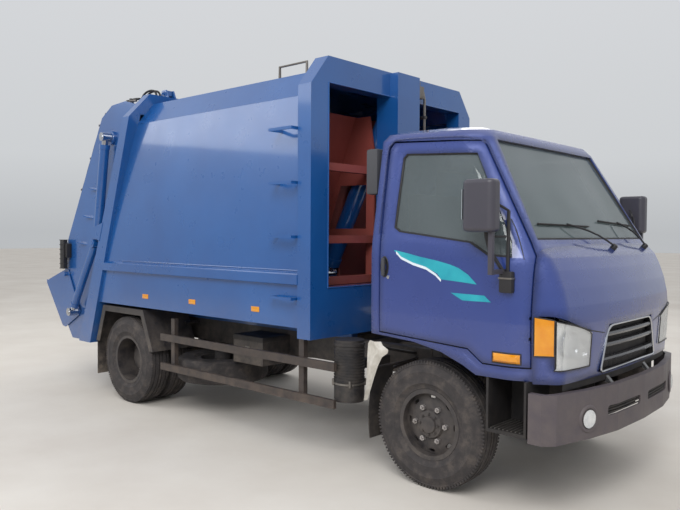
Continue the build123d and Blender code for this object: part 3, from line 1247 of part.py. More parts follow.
# Ejector ram: a barrel swinging in the column and its rod
RAM_ANGLE = bearing(RAM_PIVOT, RAM_EYE)
RAM_LENGTH = distance(RAM_PIVOT, RAM_EYE)
ram_barrel_end = along(RAM_PIVOT, RAM_ANGLE, RAM_LENGTH - 90)
ram_barrel_part = barrel_solid(RAM_PIVOT, ram_barrel_end, 0, 72, 45, 60, 25, RAM_EYE_WIDTH)
with BuildPart() as ram_barrel:
    add(ram_barrel_part)
ram_barrel.part.label = "ram_barrel"
export_step(ram_barrel.part, "parts/ram_barrel.step")

ram_pin_half = RAM_LUG_Y - RAM_LUG_HALF - OPEN_PIN_GAP
ram_rod_part = rod_solid(along(RAM_PIVOT, RAM_ANGLE, 110), RAM_EYE, 0, 45, 55, 25, RAM_EYE_WIDTH,
                         -ram_pin_half, ram_pin_half)
with BuildPart() as ram_rod:
    add(ram_rod_part)
ram_rod.part.label = "ram_rod"
export_step(ram_rod.part, "parts/ram_rod.step")

# Tailgate: side plates, cover, hopper floor and the hinge arms
SIDE_TOP_Z = FRAME_TOP_Z - 88
BACK_TOP = (ahead(-3988), FRAME_TOP_Z - 147)
BACK_LOW = (ahead(-4765), 1393)
HOPPER_CENTRE = along(BLADE_PIVOT, TRACK_ANGLE, CARRIAGE_TRAVEL)
HOPPER_REAR = along(HOPPER_CENTRE, 240, HOPPER_RADIUS)
HOPPER_BOTTOM = along(HOPPER_CENTRE, 262, HOPPER_RADIUS)
HOPPER_FRONT = along(HOPPER_CENTRE, 289, HOPPER_RADIUS)
SIDE_OUTLINE = [(mate_x(SIDE_TOP_Z, TAILGATE_GAP), SIDE_TOP_Z), (ahead(-3560), FRAME_TOP_Z - 28),
                (ahead(-3800), FRAME_TOP_Z - 43), BACK_TOP,
                BACK_LOW, (ahead(-4770), 900), (ahead(-4745), 640), (ahead(-4612), 475),
                (mate_x(500, TAILGATE_GAP) - 60, 475), (mate_x(500, TAILGATE_GAP), 500)]
back_angle = bearing(BACK_LOW, BACK_TOP)
COVER_FOOT = along(BACK_LOW, back_angle, 330)
with BuildPart() as tailgate_shell:
    for side in (-1, 1):
        with BuildSketch(Plane.XZ.offset(-side * TAILGATE_SIDE_Y)):
            with BuildLine():
                Polyline(*SIDE_OUTLINE, close=True)
            make_face()
        extrude(amount=-side * TAILGATE_WALL)
        # Front flange that meets the rear frame
        with BuildSketch(Plane.XZ.offset(-side * TAILGATE_SIDE_Y)):
            with BuildLine():
                flange_top = SIDE_TOP_Z - 10
                Polyline((mate_x(flange_top, TAILGATE_GAP), flange_top), (mate_x(510, TAILGATE_GAP), 510),
                         (mate_x(510, TAILGATE_GAP) - 12, 510),
                         (mate_x(flange_top, TAILGATE_GAP) - 12, flange_top),
                         close=True)
            make_face()
        extrude(amount=-side * 20)
    # Cover over the top and down the back
    top_points = [(mate_x(SIDE_TOP_Z, TAILGATE_GAP), SIDE_TOP_Z), (ahead(-3560), FRAME_TOP_Z - 28),
                  (ahead(-3800), FRAME_TOP_Z - 43), BACK_TOP, COVER_FOOT]
    with BuildSketch(Plane.XZ):
        with BuildLine():
            Polyline(*top_points, (COVER_FOOT[0] + 8, COVER_FOOT[1] - 4), (BACK_TOP[0] + 6, BACK_TOP[1] - 8),
                     (ahead(-3800), FRAME_TOP_Z - 53), (ahead(-3560), FRAME_TOP_Z - 38),
                     (mate_x(SIDE_TOP_Z, TAILGATE_GAP), SIDE_TOP_Z - 10), close=True)
        make_face()
    extrude(amount=TAILGATE_SIDE_Y + 1, both=True)
    # Cross beam at the foot of the cover
    with BuildSketch(Plane.XZ):
        foot_in = along(COVER_FOOT, back_angle, 90)
        with BuildLine():
            Polyline(COVER_FOOT, foot_in, (foot_in[0] + 52, foot_in[1] - 30),
                     (COVER_FOOT[0] + 52, COVER_FOOT[1] - 30),
                     close=True)
        make_face()
    extrude(amount=TAILGATE_SIDE_Y + 1, both=True)
    # Hopper floor, bent round the path of the sweep blade
    with BuildSketch(Plane.XZ):
        with BuildLine():
            outer = HOPPER_RADIUS + 10
            ThreePointArc(HOPPER_REAR, HOPPER_BOTTOM, HOPPER_FRONT)
            Line(HOPPER_FRONT, along(HOPPER_CENTRE, 289, outer))
            ThreePointArc(along(HOPPER_CENTRE, 289, outer), along(HOPPER_CENTRE, 262, outer),
                          along(HOPPER_CENTRE, 240, outer))
            Line(along(HOPPER_CENTRE, 240, outer), HOPPER_REAR)
        make_face()
    extrude(amount=TAILGATE_SIDE_Y + 1, both=True)
    # Stiffeners under the hopper floor
    for x in (ahead(-4320), ahead(-4560)):
        with BuildSketch(Plane.XZ):
            with Locations((x, 505)):
                Rectangle(60, 60)
        extrude(amount=TAILGATE_SIDE_Y + 1, both=True)
    # Hinge arms reaching over the rear frame
    for side in (-1, 1):
        with BuildSketch(Plane.XZ.offset(-side * TAILGATE_ARM_Y)):
            with BuildLine():
                Polyline((TAILGATE_PIVOT[0] + 30, TAILGATE_PIVOT[1] - 22),
                         (TAILGATE_PIVOT[0] + 30, TAILGATE_PIVOT[1] + 26),
                         (TAILGATE_PIVOT[0] - 10, TAILGATE_PIVOT[1] + 36), (ahead(-3560), FRAME_TOP_Z - 29),
                         (ahead(-3500), FRAME_TOP_Z - 42), (ahead(-3380), FRAME_TOP_Z - 8), close=True)
            make_face()
        extrude(amount=24, both=True)
        with BuildSketch(Plane.XZ.offset(-side * TAILGATE_ARM_Y)):
            with Locations(TAILGATE_PIVOT):
                Circle(TAILGATE_PIN_RADIUS)
        extrude(amount=52, both=True)
    # Lift cylinder eyes and tray cylinder brackets outside the side plates
    for side in (-1, 1):
        for centre, reach in ((LIFT_EYE, 70), (TRAY_CYLINDER_TOP, 60)):
            with BuildSketch(Plane.XZ.offset(-side * TAILGATE_SIDE_Y)):
                with Locations(centre):
                    Circle(reach)
            extrude(amount=-side * (SIDE_BOSS_Y - TAILGATE_SIDE_Y))
        with BuildSketch(Plane.XZ.offset(-side * TAILGATE_SIDE_Y)):
            with Locations(TRAY_CYLINDER_TOP):
                Circle(SIDE_PIN_RADIUS)
        extrude(amount=-side * (SIDE_CYLINDER_Y - TAILGATE_SIDE_Y + SIDE_EYE_WIDTH / 2 + 4))
        with BuildSketch(Plane.XZ.offset(-side * TAILGATE_SIDE_Y)):
            with Locations(TRAY_PIVOT):
                Circle(24)
        extrude(amount=-side * 60)
    # Barrels of the two cylinders that push the carriage, hung from a cross beam
    slide_top = along(BLADE_PIVOT, TRACK_ANGLE, -1060)
    slide_shift = along((0, 0), TRACK_ANGLE - 90, 120)
    beam = (slide_top[0] + slide_shift[0], slide_top[1] + slide_shift[1])
    slide_foot = along(beam, TRACK_ANGLE, 740)
    with BuildSketch(Plane.XZ):
        with Locations(along(beam, TRACK_ANGLE, -30)):
            Rectangle(70, 70, rotation=TRACK_ANGLE)
    extrude(amount=TAILGATE_SIDE_Y + 1, both=True)
tailgate_shell.part.label = "tailgate_shell"
export_step(tailgate_shell.part, "parts/tailgate_shell.step")

# Barrels of the carriage cylinders, fixed to the tailgate's cross beam
with BuildPart() as slide_barrels:
    for side in (-1, 1):
        y = side * SLIDE_CYLINDER_Y
        axis = Plane(origin=(beam[0], y, beam[1]), z_dir=(slide_foot[0] - beam[0], 0,
                                                          slide_foot[1] - beam[1]))
        with BuildSketch(axis.offset(5 + SEAT_GAP)):
            Circle(55)
        extrude(amount=735)
        with BuildSketch(axis.offset(40)):
            Circle(44)
        extrude(amount=640, mode=Mode.SUBTRACT)
        with BuildSketch(axis.offset(600)):
            Circle(30 + PIN_GAP)
        extrude(amount=200, mode=Mode.SUBTRACT)
slide_barrels.part.label = "slide_barrels"
export_step(slide_barrels.part, "parts/slide_barrels.step")

# Packer carriage: a box plate on runners, with lugs for its rods and the blade
u_top = along(BLADE_PIVOT, TRACK_ANGLE, -CARRIAGE_LENGTH)
u_low = along(BLADE_PIVOT, TRACK_ANGLE, -95)
u_lug = along(BLADE_PIVOT, TRACK_ANGLE, -110)


def beside(point, shift):
    """A point moved square to the packer's track, forwards when shift is positive."""
    return along(point, TRACK_ANGLE + 90, shift)


with BuildPart() as carriage:
    with BuildSketch(Plane.XZ):
        with BuildLine():
            Polyline(beside(u_top, -45), beside(u_top, 45), beside(u_low, 45), beside(u_low, -45), close=True)
        make_face()
    extrude(amount=BLADE_HALF_WIDTH, both=True)
    # Lugs down to the blade's hinge
    for y in (-700, -300, 300, 700):
        with BuildSketch(Plane.XZ.offset(-y)):
            with BuildLine():
                Polyline(beside(u_lug, -44), beside(u_lug, 44), beside(BLADE_PIVOT, 44),
                         beside(BLADE_PIVOT, -44), close=True)
            make_face()
            with Locations(BLADE_PIVOT):
                Circle(46)
                Circle(30 + PIN_GAP, mode=Mode.SUBTRACT)
        extrude(amount=15, both=True)
    # Rods of the carriage cylinders and their lugs
    for side in (-1, 1):
        y = side * SLIDE_CYLINDER_Y
        rod_top = along(beam, TRACK_ANGLE, 80)
        rod_end = beside(along(BLADE_PIVOT, TRACK_ANGLE, -110), -120)
        add(tube_between(rod_top, rod_end, y, 30))
        with BuildSketch(Plane.XZ.offset(-y)):
            with BuildLine():
                Polyline(beside(along(BLADE_PIVOT, TRACK_ANGLE, -170), -44),
                         beside(along(BLADE_PIVOT, TRACK_ANGLE, -170), -160),
                         beside(along(BLADE_PIVOT, TRACK_ANGLE, -100), -160),
                         beside(along(BLADE_PIVOT, TRACK_ANGLE, -100), -44),
                         close=True)
            make_face()
        extrude(amount=34, both=True)
    # Ears for the sweep cylinders
    for side in (-1, 1):
        for ear in (-SWEEP_EAR, SWEEP_EAR):
            with BuildSketch(Plane.XZ.offset(-side * SWEEP_CYLINDER_Y - ear)):
                sweep_top = beside(along(BLADE_PIVOT, TRACK_ANGLE, -760), -110)
                with BuildLine():
                    Polyline(beside(along(BLADE_PIVOT, TRACK_ANGLE, -830), -44), beside(sweep_top, -36),
                             along(sweep_top, TRACK_ANGLE, 36),
                             beside(along(BLADE_PIVOT, TRACK_ANGLE, -690), -44), close=True)
                make_face()
            extrude(amount=8, both=True)
        with BuildSketch(Plane.XZ.offset(-side * SWEEP_CYLINDER_Y)):
            with Locations(sweep_top):
                Circle(SWEEP_PIN_RADIUS)
        extrude(amount=SWEEP_EAR, both=True)
carriage.part.label = "carriage"
export_step(carriage.part, "parts/carriage.step")

# Sweep blade: a ribbed plate hung from the carriage
with BuildPart() as sweep_blade:
    px, pz = BLADE_PIVOT
    with BuildSketch(Plane.XZ):
        with BuildLine():
            Polyline((px - 20, pz - 100), (px + 45, pz - 100), (px + 50, pz - 300),
                     (px + 10, pz - BLADE_LENGTH),
                     (px - 12, pz - BLADE_LENGTH), (px - 20, pz - 300), close=True)
        make_face()
    extrude(amount=BLADE_HALF_WIDTH, both=True)
    for y in (-740, -260, 260, 740):
        with BuildSketch(Plane.XZ.offset(-y)):
            with BuildLine():
                Polyline((px - 36, pz), (px, pz + 38), (px + 36, pz), (px + 45, pz - 110),
                         (px - 60, pz - 300), (px - 90, pz - 150),
                         close=True)
            make_face()
        extrude(amount=12, both=True)
    with BuildSketch(Plane.XZ):
        with Locations(BLADE_PIVOT):
            Circle(30)
    extrude(amount=770, both=True)
    # Cranks for the sweep cylinders
    for side in (-1, 1):
        for ear in (-SWEEP_EAR, SWEEP_EAR):
            with BuildSketch(Plane.XZ.offset(-side * SWEEP_CYLINDER_Y - ear)):
                with BuildLine():
                    Polyline((SWEEP_EYE[0] - 20, SWEEP_EYE[1] + 36), (SWEEP_EYE[0] + 36, SWEEP_EYE[1] + 30),
                             (px - 20, pz - 105),
                             (px - 20, pz - 280), (SWEEP_EYE[0] - 30, SWEEP_EYE[1] - 30), close=True)
                make_face()
            extrude(amount=8, both=True)
        for ear in (-SWEEP_EAR, SWEEP_EAR):
            with BuildSketch(Plane.XZ.offset(-side * SWEEP_CYLINDER_Y - ear)):
                with Locations(SWEEP_EYE):
                    Circle(SWEEP_PIN_RADIUS + 6)
            extrude(amount=-math.copysign(18, ear))
sweep_blade.part.label = "sweep_blade"
export_step(sweep_blade.part, "parts/sweep_blade.step")


def cylinder_pair(label, start, eye, y, radius, rod_radius, pin_radius, eye_width, draw_in, pin_low,
                  pin_high):
    """Barrels and rods of two like cylinders at y each side; from rest the rods draw in by draw_in."""
    angle = bearing(start, eye)
    barrel_end = along(start, angle, distance(start, eye) - draw_in - BARREL_SHORT)
    rod_inner = along(start, angle, radius + 60 + draw_in)
    for piece in ("barrels", "rods"):
        solids = []
        for side in (-1, 1):
            if piece == "barrels":
                solids.append(barrel_solid(start, barrel_end, side * y, radius, rod_radius, pin_radius + 22,
                                           pin_radius, eye_width))
            else:
                low, high = sorted((side * pin_low, side * pin_high))
                solids.append(rod_solid(rod_inner, eye, side * y, rod_radius, pin_radius + 20, pin_radius,
                                        eye_width, low, high))
        with BuildPart() as pair:
            for solid in solids:
                add(solid)
        pair.part.label = f"{label}_{piece}"
        export_step(pair.part, f"parts/{label}_{piece}.step")


sweep_draw = distance(sweep_top, SWEEP_EYE) - distance(sweep_top, turned(BLADE_PIVOT, SWEEP_EYE, BLADE_OPEN))
sweep_pin = SWEEP_EAR - SWEEP_EAR_HALF - OPEN_PIN_GAP
side_pin_in = SIDE_BOSS_Y + OPEN_PIN_GAP - SIDE_CYLINDER_Y
side_pin_out = SIDE_EYE_WIDTH / 2 + 4
cylinder_pair("sweep", sweep_top, SWEEP_EYE, SWEEP_CYLINDER_Y, 42, 25, SWEEP_PIN_RADIUS, SWEEP_EYE_WIDTH,
              sweep_draw, -sweep_pin, sweep_pin)
cylinder_pair("lift", LIFT_FOOT, LIFT_EYE, SIDE_CYLINDER_Y, 45, 30, SIDE_PIN_RADIUS, SIDE_EYE_WIDTH,
              0, side_pin_in, side_pin_out)
cylinder_pair("tray", TRAY_CYLINDER_TOP, TRAY_EYE, SIDE_CYLINDER_Y, 38, 24, SIDE_PIN_RADIUS, SIDE_EYE_WIDTH,
              0, side_pin_in, side_pin_out)

# Loading tray: a sloped tray across the back on two arms
with BuildPart() as loading_tray:
    with BuildSketch(Plane.XZ):
        with BuildLine():
            Polyline(TRAY_LIP, TRAY_FOOT, (TRAY_FOOT[0] + 9, TRAY_FOOT[1] + 9),
                     (TRAY_LIP[0] + 9, TRAY_LIP[1] + 9),
                     close=True)
        make_face()
    extrude(amount=TRAY_ARM_Y + 8, both=True)
    with BuildSketch(Plane.XZ):
        with BuildLine():
            Polyline(TRAY_LIP, (TRAY_LIP[0] - 8, TRAY_LIP[1] + 30), (TRAY_LIP[0] + 40, TRAY_LIP[1] + 30),
                     (TRAY_LIP[0] + 44, TRAY_LIP[1] - 24), close=True)
        make_face()
    extrude(amount=TRAY_ARM_Y + 8, both=True)
    for side in (-1, 1):
        with BuildSketch(Plane.XZ.offset(-side * TRAY_ARM_Y)):
            with BuildLine():
                Polyline(TRAY_LIP, (TRAY_LIP[0] + 60, TRAY_LIP[1] + 40),
                         (TRAY_PIVOT[0] - 20, TRAY_PIVOT[1] + 48),
                         (TRAY_PIVOT[0] + 30, TRAY_PIVOT[1] + 44), (TRAY_PIVOT[0] + 48, TRAY_PIVOT[1]),
                         (TRAY_EYE[0] + 36, TRAY_EYE[1] + 12), (TRAY_EYE[0] + 20, TRAY_EYE[1] - 36),
                         (TRAY_FOOT[0] + 60, TRAY_FOOT[1] - 10), TRAY_FOOT, close=True)
            make_face()
            with Locations(TRAY_PIVOT):
                Circle(24 + PIN_GAP, mode=Mode.SUBTRACT)
        extrude(amount=-side * TRAY_PLATE)
        with BuildSketch(Plane.XZ.offset(-side * TRAY_ARM_Y)):
            with Locations(TRAY_EYE):
                Circle(SIDE_PIN_RADIUS + 14)
        extrude(amount=-side * (SIDE_BOSS_Y - TRAY_ARM_Y))
loading_tray.part.label = "loading_tray"
export_step(loading_tray.part, "parts/loading_tray.step")

# Tail lamps in barred guards on the tailgate
with BuildPart() as tail_lamps:
    for side in (-1, 1):
        with BuildSketch(Plane.XZ.offset(-side * (TAILGATE_SIDE_Y + 33))):
            with Locations((ahead(-4700), 1360)):
                Rectangle(90, 300)
        extrude(amount=-side * 46)
        with BuildSketch(Plane.XZ.offset(-side * (TAILGATE_SIDE_Y + TAILGATE_WALL + SEAT_GAP))):
            with Locations((ahead(-4640), 1400)):
                Rectangle(50, 160)
        extrude(amount=-side * 60)
tail_lamps.part.label = "tail_lamps"
export_step(tail_lamps.part, "parts/tail_lamps.step")
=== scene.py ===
import math

import bmesh
import bpy
from mathutils import Matrix, Vector
from mathutils.bvhtree import BVHTree


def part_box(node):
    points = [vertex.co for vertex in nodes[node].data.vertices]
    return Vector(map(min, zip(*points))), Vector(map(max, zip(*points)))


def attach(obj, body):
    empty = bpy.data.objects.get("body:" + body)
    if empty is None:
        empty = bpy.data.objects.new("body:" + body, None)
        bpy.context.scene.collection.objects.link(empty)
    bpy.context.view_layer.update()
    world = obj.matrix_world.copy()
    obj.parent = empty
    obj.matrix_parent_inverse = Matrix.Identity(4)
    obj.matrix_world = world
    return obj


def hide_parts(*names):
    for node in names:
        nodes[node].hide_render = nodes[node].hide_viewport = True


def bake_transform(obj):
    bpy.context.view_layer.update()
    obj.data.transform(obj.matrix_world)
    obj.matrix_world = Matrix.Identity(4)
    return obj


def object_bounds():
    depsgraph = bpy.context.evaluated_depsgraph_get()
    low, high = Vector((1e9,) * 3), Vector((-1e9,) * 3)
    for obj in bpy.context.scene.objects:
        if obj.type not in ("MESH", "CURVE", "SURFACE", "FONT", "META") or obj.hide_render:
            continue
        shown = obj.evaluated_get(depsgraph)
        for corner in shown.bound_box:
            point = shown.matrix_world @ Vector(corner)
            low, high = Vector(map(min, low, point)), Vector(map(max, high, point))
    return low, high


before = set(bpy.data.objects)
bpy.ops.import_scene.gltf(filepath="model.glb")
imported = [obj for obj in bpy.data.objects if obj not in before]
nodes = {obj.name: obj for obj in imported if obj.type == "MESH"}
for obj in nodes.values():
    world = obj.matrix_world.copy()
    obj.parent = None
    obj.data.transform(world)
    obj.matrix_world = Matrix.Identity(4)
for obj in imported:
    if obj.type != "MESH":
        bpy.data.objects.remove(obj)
cad_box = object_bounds()

# Camera: the eye height of a standing person, off the right front corner of the truck.
# Its place, turns and lens were fitted to the photograph by the edges of the body, the cab and the wheels.
low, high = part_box("front_axle")
AXLE_X = (low.x + high.x) / 2
CAMERA_AHEAD_OF_AXLE = 2.5441
CAMERA_Y = -4.5821
CAMERA_Z = 1.6069
YAW, PITCH, ROLL = 2.30468, -0.0316, 0.00586
LENS_MM = 37.59


def camera_matrix(place, yaw, pitch, roll):
    forward = Vector((math.cos(pitch) * math.cos(yaw), math.cos(pitch) * math.sin(yaw), math.sin(pitch)))
    level = Vector((math.sin(yaw), -math.cos(yaw), 0))
    upright = level.cross(forward)
    right = math.cos(roll) * level + math.sin(roll) * upright
    up = -math.sin(roll) * level + math.cos(roll) * upright
    turn = Matrix((right, up, -forward)).transposed().to_4x4()
    return Matrix.Translation(place) @ turn


camera = bpy.data.objects.new("camera", bpy.data.cameras.new("camera"))
camera.data.lens = LENS_MM
camera.data.sensor_width = 36
camera.data.clip_end = 200
camera_place = Vector((AXLE_X + CAMERA_AHEAD_OF_AXLE, CAMERA_Y, CAMERA_Z))
camera.matrix_world = camera_matrix(camera_place, YAW, PITCH, ROLL)
bpy.context.scene.collection.objects.link(camera)
bpy.context.scene.camera = camera
bpy.context.scene.view_settings.view_transform = "Standard"


# Floor and light: pale swept concrete under a bright overcast sky.
# A broad soft key stands off the right front; a weaker fill is behind it and another beyond the far side.
def srgb(text):
    """Linear colour of an sRGB hex value."""
    values = [int(text[i:i + 2], 16) / 255 for i in (1, 3, 5)]
    return tuple(v / 12.92 if v <= 0.04045 else ((v + 0.055) / 1.055) ** 2.4 for v in values) + (1.0,)


def add_node(tree, kind, inputs=None, **settings):
    """A shader node; inputs takes plain values and the sockets of other nodes."""
    made = tree.nodes.new(kind)
    for name, value in settings.items():
        setattr(made, name, value)
    for name, value in (inputs or {}).items():
        if isinstance(value, bpy.types.NodeSocket):
            tree.links.new(value, made.inputs[name])
        else:
            made.inputs[name].default_value = value
    return made


def new_material(name):
    material = bpy.data.materials.new(name)
    material.use_nodes = True
    material.node_tree.nodes.clear()
    return material, material.node_tree


def finish_material(tree, shader):
    add_node(tree, "ShaderNodeOutputMaterial", {"Surface": shader.outputs[0]})


def ramp(tree, fac, stops):
    """A colour ramp from (position, hex) stops."""
    made = add_node(tree, "ShaderNodeValToRGB", {"Fac": fac})
    elements = made.color_ramp.elements
    elements[0].position, elements[0].color = stops[0][0], srgb(stops[0][1])
    elements[1].position, elements[1].color = stops[-1][0], srgb(stops[-1][1])
    for position, colour in stops[1:-1]:
        element = elements.new(position)
        element.color = srgb(colour)
    return made.outputs["Color"]


FLOOR_SIZE = 60
floor_mesh = bpy.data.meshes.new("floor")
FLOOR_CORNERS = [(x * FLOOR_SIZE, y * FLOOR_SIZE, 0) for x, y in ((-1, -1), (1, -1), (1, 1), (-1, 1))]
floor_mesh.from_pydata(FLOOR_CORNERS, [], [(0, 1, 2, 3)])
floor = bpy.data.objects.new("floor", floor_mesh)
floor.location.z = cad_box[0][2] - 0.001
bpy.context.scene.collection.objects.link(floor)
floor_material, tree = new_material("floor")
coords = add_node(tree, "ShaderNodeTexCoord").outputs["Object"]
grain = add_node(tree, "ShaderNodeTexNoise", {"Vector": coords, "Scale": 0.7, "Detail": 8.0,
                                              "Roughness": 0.6})
colour = ramp(tree, grain.outputs["Fac"], [(0.3, "#cfc8bf"), (0.7, "#ddd8d0")])
finish_material(tree, add_node(tree, "ShaderNodeBsdfPrincipled", {"Base Color": colour, "Roughness": 0.85}))
floor_mesh.materials.append(floor_material)

world = bpy.data.worlds.new("sky")
bpy.context.scene.world = world
world.use_nodes = True
tree = world.node_tree
tree.nodes.clear()
direction = add_node(tree, "ShaderNodeTexCoord").outputs["Generated"]
height = add_node(tree, "ShaderNodeSeparateXYZ", {"Vector": direction}).outputs["Z"]
sky = ramp(tree, height, [(0.0, "#d2d5d8"), (0.03, "#d9dcdf"), (0.10, "#e8ebee"), (0.45, "#f5f7fb"),
                          (1.0, "#ffffff")])
background = add_node(tree, "ShaderNodeBackground", {"Color": sky, "Strength": 0.76})
add_node(tree, "ShaderNodeOutputWorld", {"Surface": background.outputs[0]})

for name, place, size, energy in (("key", (5.5, -7.5, 7.5), 5.0, 620), ("fill", (-6.5, -6.0, 6.5), 5.0, 200),
                                  ("back", (-2.0, 7.5, 7.0), 6.0, 150)):
    light = bpy.data.objects.new(name, bpy.data.lights.new(name, "AREA"))
    light.data.shape = "SQUARE"
    light.data.size = size
    light.data.energy = energy
    light.location = place
    light.rotation_euler = (Vector((0, 0, 1.0)) - Vector(place)).to_track_quat("-Z", "Y").to_euler()
    bpy.context.scene.collection.objects.link(light)


# Paints: gloss on the welded steel body, metallic on the pressed cab, primer inside, black on the chassis.
# Long waves of the sheets show in the gloss, and road dust lies over all of them towards the ground.
def object_coords(tree):
    return add_node(tree, "ShaderNodeTexCoord").outputs["Object"]


def noise(tree, coords, scale, detail=4.0, roughness=0.55):
    made = add_node(tree, "ShaderNodeTexNoise", {"Vector": coords, "Scale": scale, "Detail": detail,
                                                 "Roughness": roughness})
    return made.outputs["Fac"]


def math_node(tree, operation, a, b=0.0, clamp=False):
    made = add_node(tree, "ShaderNodeMath", operation=operation, use_clamp=clamp)
    for index, value in enumerate((a, b)):
        if isinstance(value, bpy.types.NodeSocket):
            tree.links.new(value, made.inputs[index])
        else:
            made.inputs[index].default_value = value
    return made.outputs[0]


def mix(tree, fac, a, b):
    """Colour between a and b; each is a socket or an sRGB hex."""
    made = tree.nodes.new("ShaderNodeMix")
    made.data_type = "RGBA"
    for name, value in (("Factor_Float", fac), ("A_Color", a), ("B_Color", b)):
        socket = [s for s in made.inputs if s.identifier == name][0]
        if isinstance(value, bpy.types.NodeSocket):
            tree.links.new(value, socket)
        else:
            socket.default_value = srgb(value) if isinstance(value, str) else value
    return [s for s in made.outputs if s.identifier == "Result_Color"][0]


def bump(tree, height, strength, distance):
    made = add_node(tree, "ShaderNodeBump", {"Height": height, "Strength": strength, "Distance": distance})
    return made.outputs["Normal"]


def dust_mask(tree, coords, top, amount):
    """Dust that thins out upwards to nothing at the height top, in metres, broken up by noise."""
    z = add_node(tree, "ShaderNodeSeparateXYZ", {"Vector": coords}).outputs["Z"]
    low_down = add_node(tree, "ShaderNodeMapRange", {"Value": z, "From Min": top, "From Max": 0.25,
                                                     "To Min": 0.0, "To Max": amount}).outputs["Result"]
    patches = add_node(tree, "ShaderNodeMapRange", {"Value": noise(tree, coords, 9.0, 8.0, 0.7),
                                                    "From Min": 0.35, "From Max": 0.7}).outputs["Result"]
    return math_node(tree, "MULTIPLY", low_down, patches, clamp=True)


def paint(name, main, shade, dust="#8b7f72", dust_top=1.1, dust_amount=0.5, metallic=0.0, roughness=0.3,
          coat=0.6, wave=0.25, peel=0.06, soft=0.0, painted_shade_below=0.0):
    """Road-worn paint; soft is the radius that folds are rolled to; below the height of the last argument the
    colour is black, as painted shade.
    """
    material, tree = new_material(name)
    coords = object_coords(tree)
    tone = add_node(tree, "ShaderNodeMapRange", {"Value": noise(tree, coords, 1.6, 6.0), "From Min": 0.3,
                                                 "From Max": 0.7}).outputs["Result"]
    colour = mix(tree, tone, main, shade)
    dusty = dust_mask(tree, coords, dust_top, dust_amount)
    colour = mix(tree, dusty, colour, dust)
    # Below that height the colour turns black: painted shade, not the part's own colour
    if painted_shade_below:
        z = add_node(tree, "ShaderNodeSeparateXYZ", {"Vector": coords}).outputs["Z"]
        colour = mix(tree, math_node(tree, "LESS_THAN", z, painted_shade_below), colour, "#1c1b1d")
    rough = add_node(tree, "ShaderNodeMapRange", {"Value": noise(tree, coords, 5.0, 6.0), "From Min": 0.2,
                                                  "From Max": 0.8, "To Min": roughness * 0.75,
                                                  "To Max": roughness * 1.3}).outputs["Result"]
    rough = math_node(tree, "ADD", rough, math_node(tree, "MULTIPLY", dusty, 0.5), clamp=True)
    waves = add_node(tree, "ShaderNodeBump", {"Height": noise(tree, coords, 1.3, 1.0), "Strength": wave,
                                              "Distance": 0.02})
    if soft:
        rolled = add_node(tree, "ShaderNodeBevel", {"Radius": soft}, samples=6)
        tree.links.new(rolled.outputs[0], waves.inputs["Normal"])
    waves = waves.outputs["Normal"]
    fine = add_node(tree, "ShaderNodeBump", {"Height": noise(tree, coords, 260.0, 2.0), "Strength": peel,
                                             "Distance": 0.001, "Normal": waves}).outputs["Normal"]
    finish_material(tree, add_node(tree, "ShaderNodeBsdfPrincipled", {
        "Base Color": colour, "Metallic": metallic, "Roughness": rough, "Coat Weight": coat,
        "Coat Roughness": 0.08, "Normal": fine}))
    return material


# Two-pack gloss on welded sheet steel: clear but wavy reflections
body_blue = paint("body_blue", "#195699", "#154c8c", wave=0.3, peel=0.02, roughness=0.3, coat=0.9,
                  dust_amount=0.35)
# Metallic base under clear lacquer on pressings with rolled folds; below the cab's lower edge the tilt lugs
# are painted black as painted shade of the gap above the bumper
cab_blue = paint("cab_blue", "#2a4189", "#263b80", metallic=0.2, roughness=0.28, coat=1.0, wave=0.05,
                 dust_amount=0.22, soft=0.08, painted_shade_below=0.768)
# Iron-oxide primer without a top coat: flat, and dusty where waste has rubbed it
red_primer = paint("red_primer", "#9a4a41", "#86403a", coat=0.1, roughness=0.55, dust_top=2.2,
                   dust_amount=0.35, wave=0.3)
# Brushed chassis black: half gloss under road dirt
chassis_black = paint("chassis_black", "#242225", "#2c292b", coat=0.15, roughness=0.5, dust_top=1.0,
                      dust_amount=0.75)
# Black enamel on the side rails, browned by sun and dust
guard_black = paint("guard_black", "#2b2627", "#352f2e", coat=0.1, roughness=0.5, dust_top=1.2,
                    dust_amount=0.55, dust="#7a6a5c")
# Grained black polypropylene and rubber hose: matt, without a coat
dark_plastic = paint("dark_plastic", "#1d1c1f", "#232225", coat=0.0, roughness=0.55, dust_amount=0.35,
                     wave=0.0, peel=0.3)
# The same plastic on the steps, scuffed clean by boots
step_black = paint("step_black", "#19181a", "#1f1d1f", coat=0.0, roughness=0.6, dust_amount=0.12,
                   wave=0.0, peel=0.3)
# Smooth grey ABS shells of the mirrors
mirror_grey = paint("mirror_grey", "#3b3a44", "#434049", coat=0.2, roughness=0.45, wave=0.0, peel=0.2)
# Unpainted moulded bumper: warm grey with a fine grain
bumper_grey = paint("bumper_grey", "#4b454a", "#524b50", coat=0.0, roughness=0.5, dust_amount=0.3,
                    wave=0.0, peel=0.3)
# Grey ABS and covered board inside the cab
trim_grey = paint("trim_grey", "#3a3b40", "#434449", coat=0.0, roughness=0.6, wave=0.0, peel=0.2)
# Sand-cast iron: rough, oily and dusty
cast_iron = paint("cast_iron", "#2a2828", "#363231", coat=0.0, roughness=0.7, dust_top=1.4,
                  dust_amount=0.7, peel=0.6)
# Black enamel on pressed wheels, greyed by brake dust
wheel_black = paint("wheel_black", "#29272a", "#322f31", coat=0.1, roughness=0.45, dust_top=1.2,
                    dust_amount=0.6, dust="#6e655d")
# Metallised plastic bars of the grille: dark satin
grille_silver = paint("grille_silver", "#45474d", "#393b40", metallic=0.6, coat=0.5, roughness=0.25, wave=0.0)


